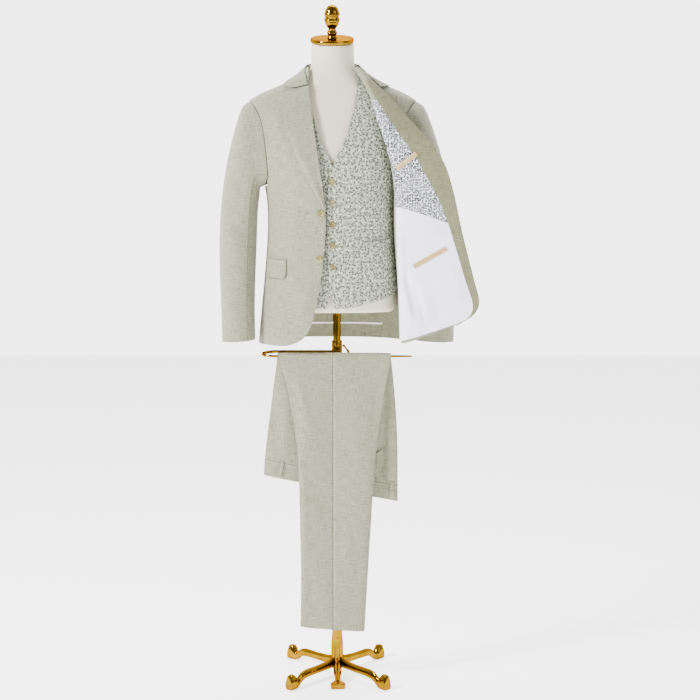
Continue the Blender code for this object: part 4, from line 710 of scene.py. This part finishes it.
# %% Right front, lapel and pocket flap
RIGHT_FRONT_CREASES = [
    (-44, 1226, -148, 1268, 15, -2.8), (-46, 1208, -132, 1180, 13, -2.1),
    (-48, 1112, -122, 1086, 13, -1.9), (-178, 1338, -118, 1296, 13, -2.8),
    (-190, 1290, -140, 1274, 10, -1.9), (-62, 1066, -84, 922, 18, 2.8),
    (-118, 1046, -132, 900, 20, -2.6), (-176, 1030, -182, 905, 14, 2.2),
    (-150, 1506, -142, 1384, 18, 2.2), (-102, 1560, -132, 1500, 13, -1.8),
]
FLAP_DROP = [(-196, 1058, -116, 1058, 26, 3.4)]
LAPEL_ROLL = [(-156, 1512, -27, 1232, 13, 2.6)]
RIGHT_FRONT = [
    # piece, finish, levels, its own fold and how fast that fades
    ("jacket_front_right", SUITING, 3, [], 1.0),
    ("jacket_flap_right", FLAP_CLOTH, 2, FLAP_DROP, SEAM_ENDS),
    ("jacket_lapel_right", SUITING, 3, LAPEL_ROLL, 0.08),
]
for node, finish, levels, fold, fade in RIGHT_FRONT:
    panel = sew(node, finish, levels=levels)
    crease(panel, RIGHT_FRONT_CREASES)
    crease(panel, fold, fade=fade)
    unroll_round(panel, JACKET_OVAL)
print("pieces of the right front:", len(RIGHT_FRONT))

# %% [markdown]
# The other front is opened wide and shows its inside: a facing of the suit cloth along the
# edge, a printed lining above and plain white satin below. All the layers bend as one, so
# they share one table of creases. The satin gathers into sharper folds near the body.

# %% Left front, turned back
TURNED_CREASES = [
    (168, 1096, 206, 946, 9, -7.3), (190, 1070, 228, 930, 7, -5.7),
    (156, 1206, 172, 1000, 9, 4.7), (176, 1040, 190, 930, 8, 4.4),
    (246, 1064, 262, 926, 16, -2.9), (226, 1236, 306, 1178, 17, -2.3),
    (292, 1110, 320, 958, 14, 2.2), (196, 1180, 282, 1160, 11, 1.6),
    (150, 1352, 214, 1322, 13, -1.8), (108, 1462, 160, 1410, 14, 2.0),
    (238, 1330, 262, 1240, 15, 2.1),
]
TURNED = [
    ("jacket_front_left", SUITING, "cloth", 3), ("jacket_facing_left", FACING, "cloth", 3),
    ("jacket_lapel_left", FACING, "cloth", 2), ("jacket_lining_plain", SATIN, "lining", 3),
    ("jacket_lining_printed", PRINTED, "printed", 3),
    ("jacket_pocket_upper", LIPPED_TAPE, "tan", 2), ("jacket_pocket_lower", TAPE, "tan", 2),
]
for node, finish, slot, levels in TURNED:
    panel = sew(node, finish, levels)
    crease(panel, TURNED_CREASES)
    unroll_flat(panel)
print("pieces of the turned-back front:", len(TURNED))

# %% [markdown]
# The collar is cut on its own and folded over a short stand that is sewn to the neckline.

# %% Collar and stand
unroll_flat(sew("jacket_collar"))
unroll_flat(sew("jacket_collar_stand", levels=2))
print("faces on the collar:", len(SEWN["jacket_collar"].data.polygons))

# %% [markdown]
# ### Sleeves
# A tailored sleeve is a wide top piece and a narrow under piece. It hangs with a slight bend,
# and the bend makes short troughs inside the elbow and one or two ridges behind it. The
# centre line of each sleeve is measured from the pattern, so the weave turns with the arm.

# %% Measuring a sleeve's centre line
# half the height of a measured slice, in millimetres
SLICE = 45.0


def centre_line(nodes, low, high, count):
    """Height, x and y of the middle of some pieces, in millimetres from the pole."""
    places = np.vstack([corner_places(NODES[n]) for n in nodes]) / MM
    rows = []
    for height in np.linspace(low, high, count):
        near = places[np.abs(places[:, 2] - height) < SLICE]
        middle = (near.min(axis=0) + near.max(axis=0)) / 2.0
        rows.append((float(height), float(middle[0] - POLE_X / MM), float(middle[1])))
    return rows


# %% Sleeves
SLEEVE_OVAL = (50.0, 78.0)
SLEEVE_LEVELS = (900.0, 1500.0, 9)
SLEEVE_BLEND = 60.0
RIGHT_SLEEVE_FRONT = [
    (-302, 1272, -232, 1228, 13, -4.6), (-304, 1218, -238, 1192, 10, -3.5),
    (-296, 1168, -234, 1148, 15, 3.5), (-302, 1352, -236, 1296, 15, -3.8),
    (-226, 1338, -256, 1240, 10, -3.8), (-300, 1116, -244, 1082, 11, -2.8),
    (-240, 1062, -296, 1030, 12, -2.3), (-252, 1462, -256, 1340, 17, 3.2),
    (-292, 990, -246, 962, 13, 1.9),
]
RIGHT_SLEEVE_BACK = [
    (-298, 1240, -236, 1266, 14, 3.8), (-300, 1180, -240, 1206, 11, -3.2),
    (-292, 1310, -238, 1352, 13, -3.5), (-246, 1450, -262, 1350, 16, 2.6),
    (-296, 1090, -246, 1112, 12, -2.3),
]
LEFT_SLEEVE_FRONT = [
    (292, 1262, 222, 1232, 14, -4.2), (288, 1206, 226, 1176, 11, -3.3),
    (294, 1158, 232, 1144, 14, 3.2), (286, 1346, 226, 1302, 14, -3.3),
    (216, 1330, 238, 1250, 10, -3.5), (290, 1090, 240, 1066, 12, -2.6),
    (250, 1468, 246, 1356, 18, 2.9), (236, 1020, 286, 1002, 12, 2.0),
]
LEFT_SLEEVE_BACK = [
    (296, 1252, 230, 1276, 13, 3.5), (292, 1196, 236, 1216, 12, -3.3),
    (282, 1330, 226, 1362, 14, -3.2), (240, 1460, 250, 1372, 15, 2.3),
    (290, 1104, 242, 1120, 11, -2.2), (250, 1010, 292, 990, 13, 1.9),
]
for side, front_folds, back_folds in (("right", RIGHT_SLEEVE_FRONT, RIGHT_SLEEVE_BACK),
                                      ("left", LEFT_SLEEVE_FRONT, LEFT_SLEEVE_BACK)):
    nodes = ("sleeve_top_" + side, "sleeve_under_" + side)
    line = centre_line(nodes, *SLEEVE_LEVELS)
    elbow = line[len(line) // 2]
    print(side, "sleeve's elbow, mm:", [round(v) for v in elbow])
    for node in nodes:
        panel = sew(node)
        crease(panel, front_folds, "front", elbow[2], SLEEVE_BLEND)
        crease(panel, back_folds, "back", elbow[2], SLEEVE_BLEND)
        unroll_round(panel, SLEEVE_OVAL, line)

# %% [markdown]
# ## Waistcoat
# The waistcoat sits close to the form. Its five buttons draw faint lines in the cloth, and
# its points lift a little at the hem. Ridges are used here more than troughs, because there
# is no room under the cloth for it to sink.

# %% Waistcoat
WAISTCOAT_OVAL = (172.0, 112.0)
WAISTCOAT_CREASES = [
    (-12, 1254, 56, 1268, 9, 1.1), (-10, 1198, 50, 1186, 10, 1.0),
    (-10, 1142, 58, 1156, 9, 1.2), (-10, 1090, 64, 1070, 11, 1.3),
    (116, 1336, 64, 1292, 12, 1.6), (128, 1250, 84, 1226, 12, 1.4),
    (28, 1064, 44, 1002, 13, 1.5), (92, 1112, 104, 1036, 14, 1.6),
    (130, 1180, 126, 1060, 13, 1.4), (-34, 1220, -96, 1236, 12, 1.2),
    (-36, 1120, -104, 1100, 13, 1.3), (-120, 1320, -82, 1276, 12, 1.4),
    (-58, 1052, -70, 996, 13, 1.4), (-128, 1110, -134, 1040, 12, 1.5),
]
WAISTCOAT_BACK_CREASES = [
    (-90, 1236, -20, 1222, 12, 1.6), (10, 1218, 92, 1240, 13, 1.5),
    (-60, 1460, -52, 1350, 18, 1.5), (60, 1440, 70, 1340, 16, 1.4),
]
for side in ("left", "right"):
    panel = sew("waistcoat_front_" + side, JACQUARD)
    welt = sew("waistcoat_pocket_" + side, WELT_CLOTH, 2)
    for piece in (panel, welt):
        crease(piece, WAISTCOAT_CREASES)
        unroll_round(piece, WAISTCOAT_OVAL)
back = sew("waistcoat_back", SATIN)
crease(back, WAISTCOAT_BACK_CREASES, "back")
unroll_round(back, WAISTCOAT_OVAL)
print("faces on the waistcoat's back:", len(back.data.polygons))

# %% [markdown]
# ## Trousers
# The trousers are folded along their pressed creases and hung over the round bar, the legs in
# front and the seat behind. The front drop shows long soft folds that start under the bar and
# die out at the knee. The seat behind hangs freer and has deeper ones. Both legs lie together,
# so both follow the same table. The belt loops are sewn at their ends and bow out between.

# %% Trousers
# where the bar's middle lies, front to back
ROD_Y = -72.0
LEG_CREASES = [
    (-10, 880, -8, 150, 36, -8.0), (-92, 700, -80, 240, 12, 3.5),
    (-128, 838, -84, 560, 15, -5.2), (-104, 820, -62, 640, 11, 3.2),
    (112, 836, 88, 590, 15, -4.9), (62, 828, 46, 660, 13, 2.6),
    (-22, 832, -18, 700, 9, -1.7), (-84, 520, -8, 488, 17, -2.6),
    (-70, 560, 0, 544, 12, 2.0), (84, 470, 22, 452, 14, -2.2),
    (-72, 330, -64, 168, 12, -3.5), (56, 350, 48, 186, 13, -2.6),
    (-30, 300, -26, 172, 10, 1.7), (20, 410, 30, 300, 12, 1.9),
]
SEAT_CREASES = [
    (-176, 820, -152, 600, 16, 3.6), (-122, 806, -142, 560, 14, -3.2),
    (-66, 828, -60, 600, 18, 3.1), (104, 810, 132, 604, 15, -3.6),
    (58, 826, 74, 640, 17, 3.1), (-12, 800, 4, 560, 20, -2.7),
    (-190, 590, -120, 574, 9, 1.4), (30, 700, 110, 660, 14, 2.1),
    (130, 832, 112, 470, 10, 8.0),
]
SIDE_SEAM = [(-10, 862, -10, 136, 3.0, -1.6)]
LOOP_BOW = [(-176, 561, -116, 561, 14, 4.4), (108, 505, 178, 505, 14, 4.4),
            (90, 606, 134, 606, 7, 2.0)]
WEAVES = [("trouser_", TROUSERING), ("waistband_", BANDING), ("hip_", HIP_CLOTH)]
TROUSER_NODES = [n for n in sorted(CUTTING_LIST)
                 if n.startswith(("trouser_", "waistband_", "belt_", "hip_"))]
for node in TROUSER_NODES:
    levels = 3 if node.startswith("trouser_") else 2
    weave = next((w for start, w in WEAVES if node.startswith(start)), SUITING)
    panel = sew(node, weave, levels, "base")
    crease(panel, LEG_CREASES, "front", ROD_Y)
    crease(panel, SEAT_CREASES, "back", ROD_Y)
    crease(panel, SIDE_SEAM, "front", ROD_Y, fade=SEAM_ENDS)
    crease(panel, SIDE_SEAM, "back", ROD_Y, fade=SEAM_ENDS)
    if node.startswith(("belt_", "hip_")):
        crease(panel, LOOP_BOW, "front" if "right" in node else "back", fade=0.1)
    unroll_flat(panel)
print("pieces in the trousers:", len(TROUSER_NODES))

# %% [markdown]
# ## Dress form and stand
# The form is a padded shell under stretched jersey. The neck cap, finial, poles, clamp, bar
# and legs are polished brass castings and tubes. Their solids are already true to size, so
# each is copied and rounded, with a lighter crease weight that leaves a small polished
# radius on every edge.

# %% Torso form and neck cap
FORM_OVAL = (165.0, 105.0)
CAP_RIM_ANGLE = math.radians(60)
form = smooth_copy("torso_form", "torso_form_cover", 3, rim_weight=0.8)
unroll_round(form, FORM_OVAL)
put(form, JERSEY, "upper")
cap = smooth_copy("neck_cap", "neck_cap_turned", 3, CAP_RIM_ANGLE, 0.8)
put(cap, BRASS, "upper")
print("faces on the form and cap:", len(form.data.polygons), len(cap.data.polygons))

# %% Brass parts
BRASS_RIM_ANGLE = math.radians(35)
BRASS_JOIN_ANGLE = math.radians(30)
BRASS_PARTS = [
    # part, body, rounding levels, edge weight
    ("finial", "upper", 3, 0.35), ("pole_upper", "upper", 2, 0.9),
    ("pole_lower", "base", 2, 0.9), ("clamp", "base", 3, 0.8),
    ("clamp_screw", "screw", 3, 0.6), ("trouser_bar", "base", 2, 0.8),
    ("base_hub", "base", 3, 0.7),
]
LEGS = ("front_left", "front_right", "front_middle", "back_left", "back_right")
BRASS_PARTS += [("leg_" + spot, "base", 3, 0.7) for spot in LEGS]
for node, body, levels, weight in BRASS_PARTS:
    part = smooth_copy(node, node + "_brass", levels, BRASS_RIM_ANGLE, weight, BRASS_JOIN_ANGLE)
    put(part, BRASS, body)
print("brass parts:", len(BRASS_PARTS))

# %% [markdown]
# ## Buttons
# A button is modelled once in each size, and seven copies are made in all. It starts as a
# cylinder: its face is inset and pushed down into a dish, its rim is bevelled, and four holes
# are cut through it. A cross of thread goes through the holes.

# %% One four-hole button
FACING_OUT = 0.9
ON_SIDE = (0.0, math.pi / 2, 0.0)
# shares of the button's radius
RIM_WIDTH, RIM_REACH, DISH_SLOPE, HOLE_SIZE, HOLE_REACH = 0.2, 0.97, 0.1, 0.1, 0.24
THREAD_SIZE, THREAD_RUN, THREAD_LIFT = 0.07, 0.5, 0.06
# shares of its thickness
DISH_DEPTH, RIM_ROUNDING, LEVEL, THREAD_REST = 0.32, 0.28, 0.1, 0.24
BUTTON_SHADING = math.radians(35)


def make_button(name, radius, thickness):
    """A dished horn button lying flat, its face up."""
    button = start_from(bpy.ops.mesh.primitive_cylinder_add, name, vertices=40,
                        radius=radius, depth=thickness)
    edit_mode(True)
    choose(button, "FACE", lambda face: face.normal.z > FACING_OUT)
    bpy.ops.mesh.inset(thickness=radius * RIM_WIDTH)
    bpy.ops.mesh.inset(thickness=radius * DISH_SLOPE)
    bpy.ops.transform.translate(value=(0.0, 0.0, -thickness * DISH_DEPTH))

    def on_rim(edge):
        first, second = (vertex.co for vertex in edge.verts)
        level = abs(first.z - second.z) < thickness * LEVEL
        return level and ((first + second) / 2.0).xy.length > radius * RIM_REACH

    choose(button, "EDGE", on_rim)
    bpy.ops.mesh.bevel(offset=thickness * RIM_ROUNDING, segments=3)
    edit_mode(False)
    return button


def pierce(button, radius, thickness):
    """Four holes, cut one after another."""
    reach = radius * HOLE_REACH
    for turn in range(4):
        angle = math.radians(45 + 90 * turn)
        place = (reach * math.cos(angle), reach * math.sin(angle), 0.0)
        drill = start_from(bpy.ops.mesh.primitive_cylinder_add, "drill", vertices=12,
                           radius=radius * HOLE_SIZE, depth=thickness * 4.0, location=place)
        pick(button)
        cut = button.modifiers.new("Hole", "BOOLEAN")
        cut.operation = "DIFFERENCE"
        cut.object = drill
        bpy.ops.object.modifier_apply(modifier="Hole")
        bpy.data.objects.remove(drill)
    bpy.ops.object.shade_smooth_by_angle(angle=BUTTON_SHADING)


def make_thread(name, radius, thickness):
    """Two short bars of thread that cross between the holes."""
    thread = start_from(bpy.ops.mesh.primitive_cylinder_add, name, vertices=8,
                        radius=radius * THREAD_SIZE, depth=radius * THREAD_RUN, rotation=ON_SIDE)
    edit_mode(True)
    bpy.ops.mesh.select_all(action="SELECT")
    bpy.ops.mesh.duplicate()
    bpy.ops.transform.rotate(value=math.pi / 2, orient_axis="Z", center_override=(0, 0, 0))
    bpy.ops.transform.translate(value=(0.0, 0.0, radius * THREAD_LIFT))
    bpy.ops.mesh.select_all(action="SELECT")
    bpy.ops.transform.rotate(value=math.pi / 4, orient_axis="Z", center_override=(0, 0, 0))
    bpy.ops.transform.translate(value=(0.0, 0.0, thickness * THREAD_REST))
    edit_mode(False)
    bpy.ops.object.shade_smooth()
    return thread


# %% [markdown]
# Each button is turned to lie on its own bit of cloth. The way it faces and the spot it
# stands on are measured from the plain button in the pattern: the thinnest direction of a
# disc is the way it faces.

# %% Placing the buttons
TWIST_SHADE = 0.82


def sewing_thread(name, colour):
    """Matt thread with a hint of twist."""
    finish, tree, shader = finish_sheet(name)
    twist = noise(tree, body_place(tree, (900.0, 900.0, 900.0)), 1.0)
    shade = tuple(c * TWIST_SHADE for c in colour[:3]) + (1.0,)
    surface(tree, shader, blend(tree, twist, shade, colour), Roughness=0.75)
    raised(tree, shader, twist, 0.05 * MM, 0.5)
    return finish


THREAD_FINISH = sewing_thread("Sage thread", linear(120, 121, 98))


def disc_place(node):
    """A matrix at a disc's underside, its Z the way the disc faces, and its thickness."""
    places = corner_places(NODES[node])
    middle = (places.min(axis=0) + places.max(axis=0)) / 2.0
    facing = Vector(np.linalg.svd(places - middle)[2][2])
    if facing.y > 0:
        facing = -facing
    heights = (places - middle) @ np.array(facing)
    turn = facing.to_track_quat("Z", "Y").to_matrix().to_4x4()
    spot = Vector(middle) + facing * float(heights.min())
    return Matrix.Translation(spot) @ turn, float(heights.max() - heights.min())


BUTTONS = [("jacket", ["jacket_button_top", "jacket_button_low"], 9.6 * MM),
           ("waistcoat", ["waistcoat_button_%d" % k for k in range(1, 6)], 7.9 * MM)]
for owner, nodes, radius in BUTTONS:
    thickness = disc_place(nodes[0])[1]
    pattern = make_button(owner + "_button_pattern", radius, thickness)
    pierce(pattern, radius, thickness)
    cross = make_thread(owner + "_thread_pattern", radius, thickness)
    lift = Matrix.Translation((0.0, 0.0, thickness / 2.0))
    for node in nodes:
        place = disc_place(node)[0] @ lift
        for source, name, finish in ((pattern, "_horn", HORN), (cross, "_thread", THREAD_FINISH)):
            copy = bring_in(node + name, source.data.copy())
            copy.data.transform(place)
            put(copy, finish, "upper")
            if source is pattern:
                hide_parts(node)
    bpy.data.objects.remove(pattern)
    bpy.data.objects.remove(cross)
    print(owner, "buttons:", len(nodes), "thickness mm:", round(thickness / MM, 1))

# %% [markdown]
# ## Stitches and buttonholes
# Small stitches show along the jacket's front edge, the pocket flap, the facing and the
# trouser hems. One stitch is a short soft bar. It is laid along a line by looking at the
# cloth from the front and setting each stitch where that look lands.

# %% Laying stitches on cloth
STITCH_LENGTH, STITCH_RADIUS, STITCH_LIFT = 2.4 * MM, 0.28 * MM, 0.028 * MM


def one_stitch(length, radius):
    """A low bar of thread with rounded ends, along X."""
    stitch = start_from(bpy.ops.mesh.primitive_cylinder_add, "stitch", vertices=6,
                        radius=radius, depth=length, rotation=ON_SIDE)
    edit_mode(True)
    choose(stitch, "FACE", lambda face: abs(face.normal.x) > FACING_OUT)
    bpy.ops.mesh.inset(thickness=radius * 0.4)
    edit_mode(False)
    return stitch


def look_down(piece, x, z):
    """Whether a look from the front meets a piece, where, and the cloth's normal there."""
    start = Vector((x * MM + POLE_X, -1.0, z * MM))
    return piece.ray_cast(start, Vector((0.0, 1.0, 0.0)))[:3]


def stitch_line(name, piece, corners, spacing, body):
    """Stitches every few millimetres along a line of (x, z) corners on a piece."""
    pattern = one_stitch(STITCH_LENGTH, STITCH_RADIUS)
    points, faces = [], []
    for start, end in zip(corners, corners[1:]):
        run = math.dist(start, end)
        way = (end[0] - start[0], end[1] - start[1])
        for k in range(int(run / spacing)):
            share = (k + 0.5) * spacing / run
            found, spot, normal = look_down(piece, start[0] + way[0] * share,
                                            start[1] + way[1] * share)
            if not found:
                continue
            ahead = Vector((way[0], 0.0, way[1])).normalized()
            ahead = (ahead - normal * ahead.dot(normal)).normalized()
            turn = Matrix((ahead, normal.cross(ahead), normal)).transposed().to_4x4()
            place = Matrix.Translation(spot + normal * STITCH_LIFT) @ turn
            first = len(points)
            points += [place @ v.co for v in pattern.data.vertices]
            faces += [[first + i for i in f.vertices] for f in pattern.data.polygons]
    bpy.data.objects.remove(pattern)
    mesh = bpy.data.meshes.new(name)
    mesh.from_pydata(points, [], faces)
    row = bring_in(name, mesh)
    pick(row)
    bpy.ops.object.shade_smooth()
    put(row, THREAD_FINISH, body)
    print(name, "stitches' faces:", len(faces))


# %% Stitch lines
FRONT_EDGE = [(-97, 898), (-76, 921), (-57, 978), (-42, 1066), (-33, 1163), (-31, 1232)]
FLAP_EDGE = [(-176, 1104), (-176, 1062), (-138, 1062), (-131, 1070), (-130, 1104)]
LINING_EDGE = [(179, 1400), (212, 1350), (239, 1300), (269, 1240), (285, 1200), (301, 1150),
               (317, 1100), (331, 1050), (350, 1000)]
HEM_LINE = [(-96, 162), (-10, 158), (74, 152)]
STITCH_LINES = [
    # name, piece, line, spacing, body
    ("stitches_front_edge", "jacket_front_right", FRONT_EDGE, 6.0, "upper"),
    ("stitches_flap", "jacket_flap_right", FLAP_EDGE, 5.0, "upper"),
    ("stitches_hem", "trouser_front_left", HEM_LINE, 5.0, "base"),
    ("stitches_hem_back", "trouser_back_left", HEM_LINE, 5.0, "base"),
    ("stitches_facing", "jacket_facing_left", LINING_EDGE, 6.0, "upper"),
]
for name, node, corners, spacing, body in STITCH_LINES:
    stitch_line(name, SEWN[node], corners, spacing, body)

# %% [markdown]
# A buttonhole is a slit bound all round with close stitches. From a little way off it reads
# as a long raised oval with a dark line inside. It starts as a torus, drawn out along X in
# edit mode until only a thin slit is left inside. The cord's thickness is a share of the
# buttonhole's width.

# %% Buttonholes
CORD = 0.22


def make_hole(name, length, width):
    """A bound slit lying flat, long along X."""
    hole = start_from(bpy.ops.mesh.primitive_torus_add, name, major_segments=36,
                      minor_segments=8, major_radius=width / 2.0, minor_radius=width * CORD)
    edit_mode(True)
    for half in (-1.0, 1.0):
        choose(hole, "VERT", lambda vertex: vertex.co.x * half > 0.0)
        bpy.ops.transform.translate(value=(half * (length - width) / 2.0, 0.0, 0.0))
    edit_mode(False)
    bpy.ops.object.shade_smooth()
    return hole


HOLES = [
    # name, piece, x, z, tilt in degrees, length, width
    ("facing_hole_top", "jacket_facing_left", 274, 1288, -12, 19.0, 3.2),
    ("facing_hole_low", "jacket_facing_left", 301, 1186, -14, 19.0, 3.2),
]
HOLES += [("waistcoat_hole_%d" % k, "waistcoat_front_left", -3.0, z, 0, 14.0, 2.6)
          for k, z in enumerate((1303, 1249, 1195, 1141, 1088), 1)]
for name, node, x, z, tilt, length, width in HOLES:
    spot, normal = look_down(SEWN[node], x, z)[1:]
    hole = make_hole(name, length * MM, width * MM)
    turn = normal.to_track_quat("Z", "Y").to_matrix().to_4x4()
    flat = Matrix.Rotation(math.radians(tilt), 4, "Z")
    hole.data.transform(Matrix.Translation(spot) @ turn @ flat)
    put(hole, THREAD_FINISH, "upper")
print("buttonholes:", len(HOLES))

# %% [markdown]
# ## Room, light and camera
# A plain pale floor meets soft light from a lit panel on each side and one above. The room is
# brighter behind the suit than in front of it, so that the brass has something dark to mirror
# and the cloth has a side in shade. The camera stands in front and looks a little down.

# %% Floor and light
FLOOR_DROP = 0.5 * MM
# depth of a look at the dim and the bright end, then the glow at each
GLOW_FROM_FRONT_TO_BACK = (-0.15, 0.8, 0.4, 4.6)
WHITE = (1.0, 1.0, 1.0, 1.0)
floor = start_from(bpy.ops.mesh.primitive_plane_add, "Studio floor", size=14.0,
                   location=(0.0, 0.0, -FLOOR_DROP))
paper, sheet, shader = finish_sheet("Studio paper")
tone = noise(sheet, body_place(sheet, (0.7, 0.7, 0.7)), 1.0)
surface(sheet, shader, blend(sheet, tone, (248, 248, 248), (252, 252, 252)),
        Roughness=0.9, Emission_Color=WHITE, Emission_Strength=1.9)
floor.data.materials.append(paper)

world = bpy.data.worlds.new("Studio")
bpy.context.scene.world = world
world.use_nodes = True
air = world.node_tree
sky = air.nodes["Background"]
depth = split(air, add(air, "TexCoord").outputs["Generated"])[1]
feed(air, sky.inputs["Color"], WHITE)
feed(air, sky.inputs["Strength"], spread(air, depth, *GLOW_FROM_FRONT_TO_BACK))

LAMPS = [
    # name, place, aim, size, watts
    ("Key", (-3.3, -2.1, 2.9), (0.0, 0.0, 1.1), 0.8, 470.0),
    ("Fill", (2.6, -2.6, 1.8), (0.0, 0.0, 1.0), 2.0, 45.0),
    ("Top", (0.2, 0.8, 3.6), (0.0, 0.0, 1.2), 1.6, 90.0),
]
for name, place, aim, size, watts in LAMPS:
    panel = bpy.data.lights.new(name, "AREA")
    panel.size = size
    panel.energy = watts
    lamp = bring_in(name, panel)
    lamp.location = place
    way = Vector(aim) - Vector(place)
    lamp.rotation_euler = way.to_track_quat("-Z", "Y").to_euler()
print("lamps:", len(LAMPS))

# %% Camera
CAMERA_PLACE = (0.0047, -4.5, 1.40)
CAMERA_DIP = math.radians(6.78)
lens = bpy.data.cameras.new("Camera")
lens.sensor_width = 36.0
lens.lens = 89.6
camera = bring_in("Camera", lens)
camera.location = CAMERA_PLACE
camera.rotation_euler = (math.pi / 2 - CAMERA_DIP, 0.0, 0.0)
bpy.context.scene.camera = camera
print("camera place, m:", CAMERA_PLACE)
